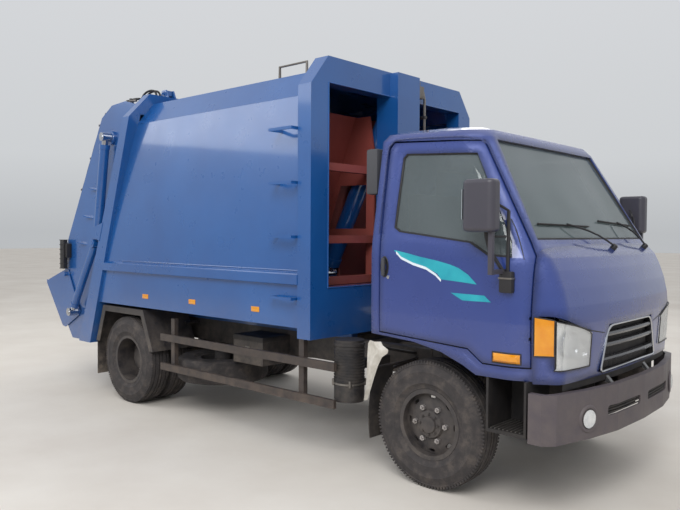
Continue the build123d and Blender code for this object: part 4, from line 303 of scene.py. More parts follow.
def plain_shader(name, hexes, scale, **values):
    """A material whose colour varies a little between two tones."""
    material, tree = new_material(name)
    coords = object_coords(tree)
    tone = noise(tree, coords, scale, 6.0)
    colour = ramp(tree, tone, [(0.35, hexes[0]), (0.65, hexes[1])])
    normal = bump(tree, noise(tree, coords, scale * 12), 0.1, 0.001)
    finish_material(tree, add_node(tree, "ShaderNodeBsdfPrincipled", {"Base Color": colour, "Normal": normal,
                                                                      **values}))
    return material


# Hard chrome on ground rods: a clean mirror
chrome = plain_shader("chrome", ("#c9cbd0", "#b9bcc2"), 6.0, Metallic=1.0, Roughness=0.08)
# Galvanised steel, dulled by weather, and wheel nuts rubbed bright by the wrench
steel = plain_shader("steel", ("#8b8782", "#6f6a66"), 9.0, Metallic=0.8, Roughness=0.42)
nut_steel = plain_shader("nut_steel", ("#b9b5b4", "#96918f"), 9.0, Metallic=0.7, Roughness=0.3)
# Moulded acrylic lenses: glossy and evenly coloured
orange_lens = plain_shader("orange_lens", ("#e58f06", "#f0a11a"), 14.0, Roughness=0.12,
                           **{"Transmission Weight": 0.15, "Coat Weight": 0.8})
red_lens = plain_shader("red_lens", ("#a80f12", "#8e0b10"), 14.0, Roughness=0.15, **{"Coat Weight": 0.8})
# Silvered glass, and the metallised plastic behind the head lamps' lenses
mirror_glass = plain_shader("mirror_glass", ("#dfe3e6", "#d5dade"), 3.0, Metallic=1.0, Roughness=0.02)
reflector = plain_shader("reflector", ("#e9eaec", "#fafafa"), 40.0, Metallic=0.35, Roughness=0.16)
# Woven polyester: matt with a soft sheen; its threads are drawn 8 mm coarse, or they wouldn't show
seat_cloth = plain_shader("seat_cloth", ("#3b3c42", "#2f3036"), 120.0, Roughness=0.9, **{"Sheen Weight": 0.4})
# White powder coat on the splash bracket, and the printed films of the door's sweep
white_cast = plain_shader("white_cast", ("#d9d5cc", "#b3ada2"), 12.0, Roughness=0.5)
white_decal = plain_shader("white_decal", ("#dfe7ee", "#cfdbe6"), 8.0, Roughness=0.3)
teal_decal = plain_shader("teal_decal", ("#1f95a8", "#2aa6b4"), 8.0, Roughness=0.3)


def glass_material(name, tint, painted_sky_share, body="#8f9ba0"):
    """Thin glass: tinted and see-through, with a sky reflection that grows towards grazing views; a pale
    colour mixed in at a fixed share is painted sky reflection.
    """
    material, tree = new_material(name)
    coords = object_coords(tree)
    colour = ramp(tree, noise(tree, coords, 1.5, 1.0), [(0.3, tint), (0.8, "#ffffff")])
    clear = add_node(tree, "ShaderNodeBsdfTransparent", {"Color": colour})
    # Its pale base colour is painted reflection of the sky; the gloss on top is real
    shine = add_node(tree, "ShaderNodeBsdfPrincipled", {"Base Color": srgb(body), "Roughness": 0.03,
                                                        "IOR": 1.7, "Coat Weight": 1.0})
    grazing = add_node(tree, "ShaderNodeLayerWeight", {"Blend": 0.35}).outputs["Fresnel"]
    alpha = math_node(tree, "ADD", math_node(tree, "MULTIPLY", grazing, 0.6), painted_sky_share, clamp=True)
    blend = add_node(tree, "ShaderNodeMixShader", {0: alpha})
    tree.links.new(clear.outputs[0], blend.inputs[1])
    tree.links.new(shine.outputs[0], blend.inputs[2])
    finish_material(tree, blend)
    return material


# Laminated screen, toughened side panes and clear acrylic: the thicker the glass, the greener its tint
# The pale colour mixed into each pane is painted sky reflection, and the near white one of the lamps' acrylic
# is a painted highlight
screen_glass = glass_material("screen_glass", "#b9cac5", 0.26)
side_glass = glass_material("side_glass", "#9fb0ad", 0.24)
lens_glass = glass_material("lens_glass", "#fbfcfc", 0.10, "#f3f4f4")

# Tyre rubber: moulded black rubber, dusted brown-grey by the road in patches.
# Its grain is a fine bump; the tread and the ribs of the sidewall are in the mesh.
tyre_rubber, tree = new_material("tyre_rubber")
coords = object_coords(tree)
patches = noise(tree, coords, 11.0, 8.0, 0.7)
colour = ramp(tree, patches, [(0.3, "#2c2a2b"), (0.5, "#3a3636"), (0.75, "#5d554f")])
normal = bump(tree, noise(tree, coords, 180.0, 3.0), 0.25, 0.001)
finish_material(tree, add_node(tree, "ShaderNodeBsdfPrincipled", {"Base Color": colour, "Roughness": 0.82,
                                                                  "Normal": normal}))

# Which coating each solid of the CAD model carries; the rest is chassis black.
COATED = (
    (body_blue, "body_floor body_roof body_side_left body_side_right front_portal rear_frame"),
    (body_blue, "tailgate_shell loading_tray carriage sweep_blade"),
    (body_blue, "lift_barrels slide_barrels tray_barrels sweep_barrels ram_barrel"),
    (cab_blue, "cab_shell cab_nose door_left door_right"),
    (red_primer, "ejector"),
    (chrome, "lift_rods tray_rods sweep_rods ram_rod"),
    (tyre_rubber, "front_tyre_left front_tyre_right rear_tyres_left rear_tyres_right spare_wheel"),
    (wheel_black, "front_rim_left front_rim_right rear_rims_left rear_rims_right"),
    (dark_plastic, "steering_wheel snorkel air_cleaner"),
    (trim_grey, "dashboard"),
    (mirror_grey, "mirror_left mirror_right"),
    (step_black, "cab_steps"),
    (bumper_grey, "front_bumper"),
    (grille_silver, "grille"),
    (reflector, "front_lamps"),
    (red_lens, "tail_lamps"),
    (screen_glass, "windscreen"),
    (side_glass, "door_glass_left door_glass_right"),
    (seat_cloth, "seats"),
    (cast_iron, "engine_block driveline"),
    (guard_black, "side_guards"),
)
coating = {name: material for material, names in COATED for name in names.split()}
for name, obj in nodes.items():
    obj.data.materials.clear()
    obj.data.materials.append(coating.get(name, chassis_black))


# Tyres: moulded radial truck tyres, one at each front wheel and a pair at each end of the rear axle.
# Three grooves run round the tread, blocks are cut across both shoulders, and thin ribs ring the sidewalls.
def finish_mesh(name, mesh, body, *materials, smooth=35, slot=None, stands_for=()):
    """Links a mesh in the row frame as a piece that rides on a CAD body."""
    for material in materials:
        mesh.materials.append(material)
    if smooth:
        mesh.shade_smooth()
        mesh.set_sharp_from_angle(angle=math.radians(smooth))
    obj = bpy.data.objects.new(name, mesh)
    bpy.context.scene.collection.objects.link(obj)
    if body:
        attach(obj, body)
    if stands_for:
        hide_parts(*stands_for)
    return obj


def from_bmesh(name, bm):
    bmesh.ops.recalc_face_normals(bm, faces=bm.faces)
    mesh = bpy.data.meshes.new(name)
    bm.to_mesh(mesh)
    bm.free()
    return mesh


def skin_rings(bm, rings, closed):
    """Joins rings of points round a centre; closed also joins each ring's last point to its first."""
    count = len(rings[0])
    for near, far in zip(rings, rings[1:] + rings[:1]):
        for j in range(count if closed else count - 1):
            k = (j + 1) % count
            bm.faces.new((near[j], far[j], far[k], near[k]))


def add_revolve(bm, profile, x, z, segments):
    """Revolves (radius, offset along Y) points about an axle along Y at x and z."""
    rings = []
    for i in range(segments):
        angle = 2 * math.pi * i / segments
        c, s = math.cos(angle), math.sin(angle)
        rings.append([bm.verts.new((x + r * c, y, z + r * s)) for r, y in profile])
    skin_rings(bm, rings, True)


def ring_group():
    """Geometry Nodes group: copies of a piece spread round a circle, turned to face outwards."""
    group = bpy.data.node_groups.new("ring_of_pieces", "GeometryNodeTree")
    face = group.interface
    face.new_socket("Geometry", in_out="OUTPUT", socket_type="NodeSocketGeometry")
    face.new_socket("Geometry", in_out="INPUT", socket_type="NodeSocketGeometry")
    for label, kind in (("Count", "NodeSocketInt"), ("Radius", "NodeSocketFloat"),
                        ("Piece", "NodeSocketObject"), ("Material", "NodeSocketMaterial")):
        face.new_socket(label, in_out="INPUT", socket_type=kind)
    source = group.nodes.new("NodeGroupInput")
    circle = group.nodes.new("GeometryNodeMeshCircle")
    position = group.nodes.new("GeometryNodeInputPosition")
    outwards = group.nodes.new("FunctionNodeAlignRotationToVector")
    outwards.axis = "X"
    outwards.pivot_axis = "Z"
    info = group.nodes.new("GeometryNodeObjectInfo")
    copies = group.nodes.new("GeometryNodeInstanceOnPoints")
    real = group.nodes.new("GeometryNodeRealizeInstances")
    coloured = group.nodes.new("GeometryNodeSetMaterial")
    target = group.nodes.new("NodeGroupOutput")
    info.inputs["As Instance"].default_value = True
    for a, b in ((source.outputs["Count"], circle.inputs["Vertices"]),
                 (source.outputs["Radius"], circle.inputs["Radius"]),
                 (circle.outputs["Mesh"], copies.inputs["Points"]),
                 (source.outputs["Piece"], info.inputs["Object"]),
                 (info.outputs["Geometry"], copies.inputs["Instance"]),
                 (position.outputs["Position"], outwards.inputs["Vector"]),
                 (outwards.outputs["Rotation"], copies.inputs["Rotation"]),
                 (copies.outputs["Instances"], real.inputs["Geometry"]),
                 (real.outputs["Geometry"], coloured.inputs["Geometry"]),
                 (source.outputs["Material"], coloured.inputs["Material"]),
                 (coloured.outputs["Geometry"], target.inputs["Geometry"])):
        group.links.new(a, b)
    return group


RING = ring_group()


def ring_mesh(name, piece_bm, count, radius, material):
    """A plain mesh of copies of one small form round the Z axis."""
    piece = bpy.data.objects.new(name + "_piece", from_bmesh(name + "_piece", piece_bm))
    bpy.context.scene.collection.objects.link(piece)
    holder = bpy.data.objects.new(name + "_holder", bpy.data.meshes.new(name + "_holder"))
    bpy.context.scene.collection.objects.link(holder)
    modifier = holder.modifiers.new("ring", "NODES")
    modifier.node_group = RING
    values = {"Count": count, "Radius": radius, "Piece": piece, "Material": material}
    for item in RING.interface.items_tree:
        if item.in_out == "INPUT" and item.name in values:
            modifier[item.identifier] = values[item.name]
    bpy.context.view_layer.update()
    ready = holder.evaluated_get(bpy.context.evaluated_depsgraph_get())
    mesh = bpy.data.meshes.new_from_object(ready)
    holder.modifiers.remove(modifier)
    bpy.data.objects.remove(holder)
    bpy.data.objects.remove(piece)
    mesh.name = name
    return mesh


def axle_turn(centre, side):
    """Turns a mesh made round Z, facing +Z, to sit round an axle along Y, facing outwards on that side."""
    return Matrix.Translation(centre) @ Matrix.Rotation(math.radians(90 if side < 0 else -90), 4, "X")


def add_block(bm, low, high, bevel):
    """A box between two corners with its edges rounded."""
    verts = bmesh.ops.create_cube(bm, size=1.0)["verts"]
    for v in verts:
        v.co = Vector([low[i] + (v.co[i] + 0.5) * (high[i] - low[i]) for i in range(3)])
    edges = {e for v in verts for e in v.link_edges}
    bmesh.ops.bevel(bm, geom=list(edges), offset=bevel, segments=2, affect="EDGES", profile=0.6)


TYRE_RADIUS = 0.405
TYRE_WIDTH = 0.215
SHOULDER_BLOCKS = 110


def tyre_profile(y):
    """(radius, offset) points of one tyre centred on y, from the bead over the sidewall to the tread."""
    h = TYRE_WIDTH / 2
    outer = [(0.210, 0.078), (0.222, 0.081), (0.226, 0.089), (0.236, 0.090), (0.255, h - 0.006),
             (0.262, h - 0.001), (0.270, h - 0.002), (0.300, h), (0.325, h - 0.001), (0.331, h + 0.001),
             (0.338, h - 0.002), (0.362, h - 0.010), (0.376, h - 0.016), (0.380, h - 0.013),
             (0.392, h - 0.022), (0.399, h - 0.030), (0.4015, h - 0.045), (0.391, h - 0.047),
             (0.391, h - 0.055), (0.404, h - 0.057), (0.405, 0.022), (0.392, 0.020), (0.392, 0.011),
             (0.405, 0.009)]
    return [(r, y + d) for r, d in outer] + [(r, y - d) for r, d in reversed(outer)]


for node in ("front_tyre_right", "front_tyre_left", "rear_tyres_right", "rear_tyres_left"):
    low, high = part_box(node)
    side = -1 if node.endswith("right") else 1
    x = (low.x + high.x) / 2
    if node.startswith("front"):
        ys = [(low.y + high.y) / 2]
        body = "front_wheel_" + node.split("_")[-1]
    else:
        outer = max(abs(low.y), abs(high.y)) - TYRE_WIDTH / 2
        inner = min(abs(low.y), abs(high.y)) + TYRE_WIDTH / 2
        ys = [side * outer, side * inner]
        body = "rear_wheels_" + node.split("_")[-1]
    bm = bmesh.new()
    for y in ys:
        add_revolve(bm, tyre_profile(y), x, TYRE_RADIUS, 120)
    tread = from_bmesh(node + "_dressed", bm)
    lug = bmesh.new()
    add_block(lug, (-0.030, -0.0065, 0.062), (-0.0045, 0.0065, 0.092), 0.002)
    add_block(lug, (-0.030, -0.0065, -0.092), (-0.0045, 0.0065, -0.062), 0.002)
    lugs = ring_mesh("tread_blocks", lug, SHOULDER_BLOCKS, TYRE_RADIUS, tyre_rubber)
    joined = bmesh.new()
    joined.from_mesh(tread)
    for y in ys:
        moved = lugs.copy()
        moved.transform(axle_turn((x, y, TYRE_RADIUS), side))
        joined.from_mesh(moved)
    joined.to_mesh(tread)
    joined.free()
    finish_mesh(node + "_dressed", tread, body, tyre_rubber, slot="tyre", stands_for=(node,))


# Wheel fixings: six forged steel nuts on studs hold each pressed wheel to its hub.
# At the front, eight small bolts hold the hub's cap; a ring of nodes spreads the copies.
FRONT_NUTS = (6, 0.112, 0.036, 0.024)
CAP_BOLTS = (8, 0.066, 0.016, 0.010)
REAR_NUTS = (6, 0.130, 0.036, 0.026)


def nut_form(across, length):
    """A hexagon with the stud's rounded end standing out of it."""
    bm = bmesh.new()
    made = bmesh.ops.create_cone(bm, cap_ends=True, segments=6, radius1=across / 2, radius2=across / 2,
                                 depth=length)
    bmesh.ops.translate(bm, verts=made["verts"], vec=(0, 0, length / 2))
    made = bmesh.ops.create_cone(bm, cap_ends=True, segments=12, radius1=across * 0.26, radius2=across * 0.22,
                                 depth=length * 0.6)
    bmesh.ops.translate(bm, verts=made["verts"], vec=(0, 0, length * 1.3))
    return bm


def nut_ring(name, body, sizes, centre, side, material):
    """Nuts on a circle round an axle; sizes are count, circle radius, width across the corners and length."""
    count, circle, across, length = sizes
    mesh = ring_mesh(name, nut_form(across, length), count, circle, material)
    mesh.transform(axle_turn(centre, side))
    finish_mesh(name, mesh, body, smooth=30)


for side, name in ((-1, "right"), (1, "left")):
    low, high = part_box("front_tyre_" + name)
    x, y = (low.x + high.x) / 2, (low.y + high.y) / 2
    front = "front_wheel_" + name
    nut_ring("front_nuts_" + name, front, FRONT_NUTS, (x, y + side * 0.055, TYRE_RADIUS), side, nut_steel)
    nut_ring("hub_bolts_" + name, front, CAP_BOLTS, (x, y + side * 0.082, TYRE_RADIUS), side, wheel_black)
    low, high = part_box("rear_tyres_" + name)
    centre = ((low.x + high.x) / 2, side * ((abs(low.y) + abs(high.y)) / 2 + 0.012), TYRE_RADIUS)
    nut_ring("rear_nuts_" + name, "rear_wheels_" + name, REAR_NUTS, centre, side, nut_steel)


# Window rubbers: extruded black rubber seals that hold the windscreen and frame the glass of each door.
# Each follows the outline of its pane's outer face.
def surface_of(*names):
    """Ray-casting tree over some CAD nodes."""
    verts, faces = [], []
    for node in names:
        start = len(verts)
        verts += [nodes[node].matrix_world @ v.co for v in nodes[node].data.vertices]
        faces += [[start + i for i in p.vertices] for p in nodes[node].data.polygons]
    return BVHTree.FromPolygons(verts, faces)


def drop(tree, origin, direction):
    """The point where a ray meets a surface, or the nearest one if it misses, and the normal there."""
    direction = Vector(direction).normalized()
    point, normal = tree.ray_cast(Vector(origin), direction)[:2]
    if point is None:
        point, normal = tree.find_nearest(Vector(origin) + direction * 0.55)[:2]
    return point, normal if normal.dot(direction) < 0 else -normal


def at(x, y, z):
    """A point in metres, with x counted forwards from the front axle."""
    return Vector((AXLE_X + x, y, z))


def pane_outline(node, outwards):
    """Ordered points round the outer face of a pane."""
    bm = bmesh.new()
    bm.from_mesh(nodes[node].data)
    bmesh.ops.remove_doubles(bm, verts=bm.verts, dist=0.0002)
    front = {f for f in bm.faces if f.normal.dot(outwards) > 0.5}
    links = {}
    for e in bm.edges:
        if len([f for f in e.link_faces if f in front]) == 1:
            for a, b in (e.verts, reversed(e.verts)):
                links.setdefault(a, []).append(b)
    start = next(iter(links))
    loop, last = [start], None
    while True:
        following = [v for v in links[loop[-1]] if v is not last]
        if not following or following[0] is start or len(loop) > 4000:
            break
        last = loop[-1]
        loop.append(following[0])
    points = [v.co.copy() for v in loop]
    bm.free()
    return points


def tube(points, radius, closed=False, smooth=False, steps=2):
    """A round bar along points; smooth bends it in one flowing curve."""
    curve = bpy.data.curves.new("tube", "CURVE")
    curve.dimensions = "3D"
    spline = curve.splines.new("NURBS" if smooth else "POLY")
    spline.points.add(len(points) - 1)
    for target, place in zip(spline.points, points):
        target.co = (*place, 1.0)
    spline.use_cyclic_u = closed
    if smooth:
        spline.order_u = 3
        spline.use_endpoint_u = not closed
        spline.resolution_u = 8
    curve.bevel_depth = radius
    curve.bevel_resolution = steps
    curve.use_fill_caps = not closed
    holder = bpy.data.objects.new("tube", curve)
    bpy.context.scene.collection.objects.link(holder)
    bpy.context.view_layer.update()
    mesh = bpy.data.meshes.new_from_object(holder)
    bpy.data.objects.remove(holder)
    return mesh


def piece(name, body, parts, slot=None, stands_for=()):
    """One piece out of (mesh, material) parts."""
    bm = bmesh.new()
    materials = []
    for mesh, material in parts:
        if material not in materials:
            materials.append(material)
        count = len(bm.faces)
        bm.from_mesh(mesh)
        bm.faces.ensure_lookup_table()
        for face in bm.faces[count:]:
            face.material_index = materials.index(material)
        bpy.data.meshes.remove(mesh)
    mesh = bpy.data.meshes.new(name)
    bm.to_mesh(mesh)
    bm.free()
    return finish_mesh(name, mesh, body, *materials, slot=slot, stands_for=stands_for)


SEAL_RADIUS = 0.011
rubber = tube(pane_outline("windscreen", Vector((0.86, 0, 0.51))), SEAL_RADIUS, closed=True)
piece("screen_seal", "cab", [(rubber, dark_plastic)])
for side, name in ((-1, "right"), (1, "left")):
    rubber = tube(pane_outline("door_glass_" + name, Vector((0, side, 0))), SEAL_RADIUS, closed=True)
    piece("door_seal_" + name, "door_" + name, [(rubber, dark_plastic)])


# Head lamps: an orange indicator wraps round the corner; beside it a clear lens covers two reflector bowls.
# The lenses are moulded acrylic, the housings metallised plastic, and a black gasket seals them to the nose.
def blocks(*boxes, bevel=0.003):
    """Rounded boxes from (low, high) corners as one mesh."""
    bm = bmesh.new()
    for low, high in boxes:
        add_block(bm, [min(a, b) for a, b in zip(low, high)], [max(a, b) for a, b in zip(low, high)], bevel)
    return from_bmesh("blocks", bm)


def turned(profile, segments, matrix, closed=False):
    """Revolves (radius, height) points about Z, then places the form."""
    bm = bmesh.new()
    rings = []
    for i in range(segments):
        angle = 2 * math.pi * i / segments
        rings.append([bm.verts.new((r * math.cos(angle), r * math.sin(angle), h)) for r, h in profile])
    skin_rings(bm, rings, closed)
    bmesh.ops.remove_doubles(bm, verts=bm.verts, dist=0.00005)
    mesh = from_bmesh("turned", bm)
    mesh.transform(matrix)
    return mesh


def facing(place, direction):
    """Matrix that puts a form made round +Z at a place, looking along direction."""
    return Matrix.Translation(place) @ Vector(direction).to_track_quat("Z", "Y").to_matrix().to_4x4()


def sheet_mesh(grid, wall=0.0):
    """A sheet through rows of points; with a wall it becomes a closed shell behind them."""
    bm = bmesh.new()
    rows = [[bm.verts.new(p) for p in row] for row in grid]
    for a, b in zip(rows, rows[1:]):
        for i in range(len(a) - 1):
            bm.faces.new((a[i], a[i + 1], b[i + 1], b[i]))
    bmesh.ops.recalc_face_normals(bm, faces=bm.faces)
    if wall:
        bmesh.ops.solidify(bm, geom=bm.faces[:], thickness=wall)
    return from_bmesh("sheet", bm)


# The lenses are swept round a core inside the nose
LAMP_CORE_X, LAMP_CORE_Y = 0.62, 0.55
# Lens, its housing's inside, columns, outer and inner end as (x, y), lower edge and upper edge at both ends
LAMP_PARTS = ((orange_lens, orange_lens, 8, (0.724, 0.966), (0.816, 0.899), (0.928, 0.928), (1.146, 1.130)),
              (lens_glass, reflector, 22, (0.822, 0.893), (0.892, 0.590), (0.850, 0.846), (1.124, 1.043)))
LAMP_ROWS = 16
LAMP_DEPTH = 0.030
REFLECTOR_BOWLS = ((0.790, 0.985, 0.078), (0.672, 0.945, 0.064))
nose_tree = surface_of("front_lamps", "cab_nose", "cab_shell")


def lamp_point(side, angle, z, out):
    """A point on the nose, moved out along its normal."""
    core = at(LAMP_CORE_X, side * LAMP_CORE_Y, z)
    ray = Vector((math.cos(angle), side * math.sin(angle), 0))
    place, normal = drop(nose_tree, core + ray, -ray)
    normal.z = 0
    return place + normal.normalized() * out


def lamp_grid(side, start, end, lows, highs, out, columns):
    """Rows of points over one lens, from its outer end to its inner end."""
    grid = []
    angles = [math.atan2(y - LAMP_CORE_Y, x - LAMP_CORE_X) for x, y in (start, end)]
    for i in range(columns + 1):
        share = i / columns
        angle = angles[0] + (angles[1] - angles[0]) * share
        low = lows[0] + (lows[1] - lows[0]) * share
        high = highs[0] + (highs[1] - highs[0]) * share
        heights = [low + (high - low) * j / LAMP_ROWS for j in range(LAMP_ROWS + 1)]
        grid.append([lamp_point(side, angle, z, out) for z in heights])
    return grid


def grid_edge(grid):
    """The points round the rim of a grid, in order."""
    return grid[0] + [row[-1] for row in grid[1:]] + grid[-1][-2::-1] + [row[0] for row in grid[-2:0:-1]]


for side, name in ((-1, "right"), (1, "left")):
    parts = []
    for lens, inside, columns, start, end, lows, highs in LAMP_PARTS:
        front = lamp_grid(side, start, end, lows, highs, 0.006, columns)
        parts.append((sheet_mesh(front, 0.004), lens))
        parts.append((tube(grid_edge(front), 0.0035, closed=True), dark_plastic))
        back = lamp_grid(side, start, end, lows, highs, -LAMP_DEPTH, columns)
        for i, row in enumerate(back):
            for j, p in enumerate(row):
                # Every other point stands 4 mm out, so the housing glitters like fluted plastic
                core = at(LAMP_CORE_X, side * LAMP_CORE_Y, p.z)
                row[j] = p + (p - core).normalized() * 0.004 * ((i + j) % 2)
        parts.append((sheet_mesh(back, 0.002), inside))
        rims = [[a, b] for a, b in zip(grid_edge(front), grid_edge(back))]
        parts.append((sheet_mesh(rims + rims[:1], 0.0015), reflector))
    for y, z, width in REFLECTOR_BOWLS:
        place = drop(nose_tree, at(1.2, side * y, z), (-1, 0, 0))[0]
        spot = facing(place - Vector((0.034, 0, 0)), (1, side * 0.15, 0))
        bowl = [(width, 0.030), (width * 0.86, 0.010), (width * 0.6, -0.008), (width * 0.3, -0.020),
                (0.012, -0.024)]
        bulb = [(0.0, 0.022), (0.009, 0.018), (0.012, 0.004), (0.012, -0.024)]
        parts += [(turned(bowl, 40, spot), chrome), (turned(bulb, 16, spot), lens_glass)]
    piece("head_lamp_" + name, "cab", parts, slot="lamp", stands_for=("front_lamps",) if side < 0 else ())


# Grille: a metallised plastic frame clipped into the nose, with its upper corners rounded most.
# Three broad satin bars bow forwards across it, and a pleated black mesh closes it behind.
GRILLE_LOW_HALF, GRILLE_TOP_HALF = 0.458, 0.362
GRILLE_LOW_Z, GRILLE_TOP_Z = 0.792, 1.062
GRILLE_FACE_X = 0.912
GRILLE_SWEEP_BACK = 0.01925
GRILLE_CORNERS = ((-GRILLE_LOW_HALF, GRILLE_LOW_Z), (-GRILLE_TOP_HALF, GRILLE_TOP_Z),
                  (GRILLE_TOP_HALF, GRILLE_TOP_Z), (GRILLE_LOW_HALF, GRILLE_LOW_Z))


def grille_half(z):
    """Half width of the grille at a height."""
    share = (z - GRILLE_LOW_Z) / (GRILLE_TOP_Z - GRILLE_LOW_Z)
    return GRILLE_LOW_HALF - share * (GRILLE_LOW_HALF - GRILLE_TOP_HALF)


def grille_point(y, z, out):
    """A point on the grille's face, which sweeps back towards its sides."""
    return at(GRILLE_FACE_X + out - GRILLE_SWEEP_BACK * (y / GRILLE_LOW_HALF) ** 2, y, z)


frame_line = []
for (y0, z0), (y1, z1), (y2, z2) in zip(GRILLE_CORNERS, GRILLE_CORNERS[1:] + GRILLE_CORNERS[:1],
                                        GRILLE_CORNERS[2:] + GRILLE_CORNERS[:2]):
    corner, before, after = Vector((y1, z1)), Vector((y0, z0)), Vector((y2, z2))
    radius = 0.070 if z1 == GRILLE_TOP_Z else 0.035
    a = corner + (before - corner).normalized() * radius
    b = corner + (after - corner).normalized() * radius
    for k in range(7):
        t = k / 6
        p = a * (1 - t) ** 2 + corner * 2 * t * (1 - t) + b * t ** 2
        frame_line.append(grille_point(p.x, p.y, 0.004))
grille_parts = [(tube(frame_line, 0.008, closed=True, steps=3), chrome)]
BAR_SECTION = ((0.016, -0.020), (0.012, 0.000), (0, 0.006), (-0.012, 0.000), (-0.018, -0.020), (0, -0.022),
               (0.016, -0.020))
for z in (1.008, 0.945, 0.858):
    half = grille_half(z) - 0.008
    rows = []
    for k in range(25):
        y = -half + 2 * half * k / 24
        rows.append([grille_point(y, z + rise, out) for rise, out in BAR_SECTION])
    grille_parts.append((sheet_mesh(rows), grille_silver))
mesh_rows = []
for k in range(29):
    share = -1 + 2 * k / 28
    mesh_rows.append([grille_point(share * grille_half(z), z, -0.045 + 0.012 * (k % 2))
                      for z in (0.796, 0.86, 0.93, 1.0, 1.058)])
grille_parts.append((sheet_mesh(mesh_rows, 0.002), dark_plastic))
side_walls = [[p, p - Vector((0.050, 0, 0))] for p in frame_line]
grille_parts.append((sheet_mesh(side_walls + side_walls[:1], 0.002), dark_plastic))
piece("grille_dressed", "cab", grille_parts, slot="grille_plastic", stands_for=("grille",))


# Front panel joints: thin dark gaps between the nose pressing and the lamps, from the grille outwards.
# They are lines laid on the nose; a black plastic valance closes the gap above the bumper, and its black is
# partly painted shade of that gap.
JOINT_BENDS = (0.375, 0.42, 0.46, 0.50, 0.54, 0.575)
JOINT_OVER_LAMP = ((0.575, 1.050), (0.66, 1.070), (0.74, 1.090), (0.82, 1.112), (0.885, 1.136))


def seam(path, side, lift):
    """A thin line on the nose through (y, z) points."""
    line = []
    for y, z in path:
        place, normal = drop(nose_tree, at(1.3, side * y, z), (-1, 0, 0))
        line.append(place + normal * lift)
    return tube(line, 0.003)


nose_seams = []
for side in (-1, 1):
    beside_grille = [(y, 1.050 + (y - 0.575) * 0.17) for y in JOINT_BENDS]
    nose_seams.append((seam(beside_grille, side, 0.0), dark_plastic))
    nose_seams.append((seam(JOINT_OVER_LAMP, side, 0.001), dark_plastic))
# The valance: a black sheet, partly a real valance and partly painted shade in the gap under the nose
valance_and_painted_shade = []
for k in range(25):
    place = drop(nose_tree, at(1.5, -0.84 + 0.07 * k, 0.800), (-1, 0, 0))[0]
    valance_and_painted_shade.append([Vector((place.x - 0.012, place.y, z)) for z in (0.795, 0.755, 0.730)])
nose_seams.append((sheet_mesh(valance_and_painted_shade, 0.003), dark_plastic))
piece("nose_seams", "cab", nose_seams)

# Bumper fittings: a round fog lamp in a turned rim at each end of the moulded bumper.
# Between them, two intake slots open onto a dark backing, with three thin bars across each.
FOG_RIM = ((0.052, 0.0), (0.062, 0.008), (0.072, 0.008), (0.080, 0.0), (0.080, -0.004), (0.052, -0.004))
FOG_BOWL = ((0.052, 0.008), (0.044, 0.005), (0.020, 0.003), (0.0, 0.003))
FOG_LENS = ((0.053, 0.009), (0.045, 0.015), (0.022, 0.019), (0.0, 0.020))
bumper_tree = surface_of("front_bumper")
bumper_parts = []
for side in (-1, 1):
    place, normal = drop(bumper_tree, at(1.5, side * 0.700, 0.568), (-1, 0, 0))
    spot = facing(place, (normal.x, normal.y, 0))
    bumper_parts += [(turned(FOG_RIM, 40, spot, True), bumper_grey), (turned(FOG_BOWL, 40, spot), reflector),
                     (turned(FOG_LENS, 40, spot), lens_glass)]
    skins = [drop(bumper_tree, at(1.5, side * (0.060 + 0.0452 * k), 0.535), (-1, 0, 0))[0] for k in range(11)]
    backing = [[Vector((p.x - 0.034, p.y, z)) for z in (0.548, 0.584, 0.620)] for p in skins]
    bumper_parts.append((sheet_mesh(backing, 0.003), dark_plastic))
    for z in (0.567, 0.584, 0.601):
        bar = tube([Vector((p.x - 0.012, p.y, z)) for p in skins], 0.0045)
        bumper_parts.append((bar, dark_plastic))
piece("bumper_fittings", "chassis", bumper_parts)

# Wipers: pressed steel arms painted black, pivoting on two hubs in the cowl.
# Their rubber blades, each on a backing strip, are parked low on the screen.
# Pivot, blade tip and blade heel as (y, z)
WIPERS = (((0.074, 1.512), (-0.733, 1.660), (-0.060, 1.650)),
          ((0.700, 1.512), (0.150, 1.690), (0.740, 1.664)))
WIPER_HUB = ((0.0, 0.034), (0.015, 0.032), (0.020, 0.024), (0.020, -0.002), (0.0, -0.002))
screen_tree = surface_of("windscreen", "cab_nose", "cab_shell")
wiper_parts = []
for pivot, tip, heel in WIPERS:
    blade = []
    for k in range(9):
        share = k / 8
        y, z = tip[0] + (heel[0] - tip[0]) * share, tip[1] + (heel[1] - tip[1]) * share
        place, normal = drop(screen_tree, at(1.5, y, z), (-1, 0, 0))
        blade.append(place + normal * 0.012)
    backing = [p - Vector((0.006, 0, 0.004)) for p in blade]
    foot, normal = drop(screen_tree, at(1.5, *pivot), (-1, 0, 0))
    arm = [foot + normal * 0.022]
    middle = blade[4] + Vector((0.012, 0, 0.006))
    for k in range(1, 6):
        arm.append(arm[0].lerp(middle, k / 5) + normal * 0.020 * math.sin(math.pi * k / 5))
    wiper_parts += [(tube(blade, 0.005), dark_plastic), (tube(backing, 0.003), dark_plastic),
                    (tube(arm, 0.006), dark_plastic)]
    wiper_parts.append((turned(WIPER_HUB, 20, facing(foot, normal)), dark_plastic))
piece("wipers", "cab", wiper_parts)

# Door furniture: a grip in a recessed cup, a lock barrel, a side repeater and a panel behind the mirror.
# The sweep is cut film in teal and white, laid on the paint: a wedge that widens forwards over a thin line,
# and a short bar below it.
HANDLE_CUP = ((0.034, 0.001), (0.031, 0.004), (0.027, 0.001), (0.0, -0.001))
LOCK_BARREL = ((0.011, 0.0), (0.011, 0.004), (0.006, 0.005), (0.0, 0.004))
# Rows of the mirror's panel as rear edge, front edge and height
MIRROR_PANEL = ((0.536, 0.548, 1.690), (0.538, 0.580, 1.640), (0.541, 0.610, 1.580), (0.545, 0.638, 1.520),
                (0.548, 0.660, 1.462))
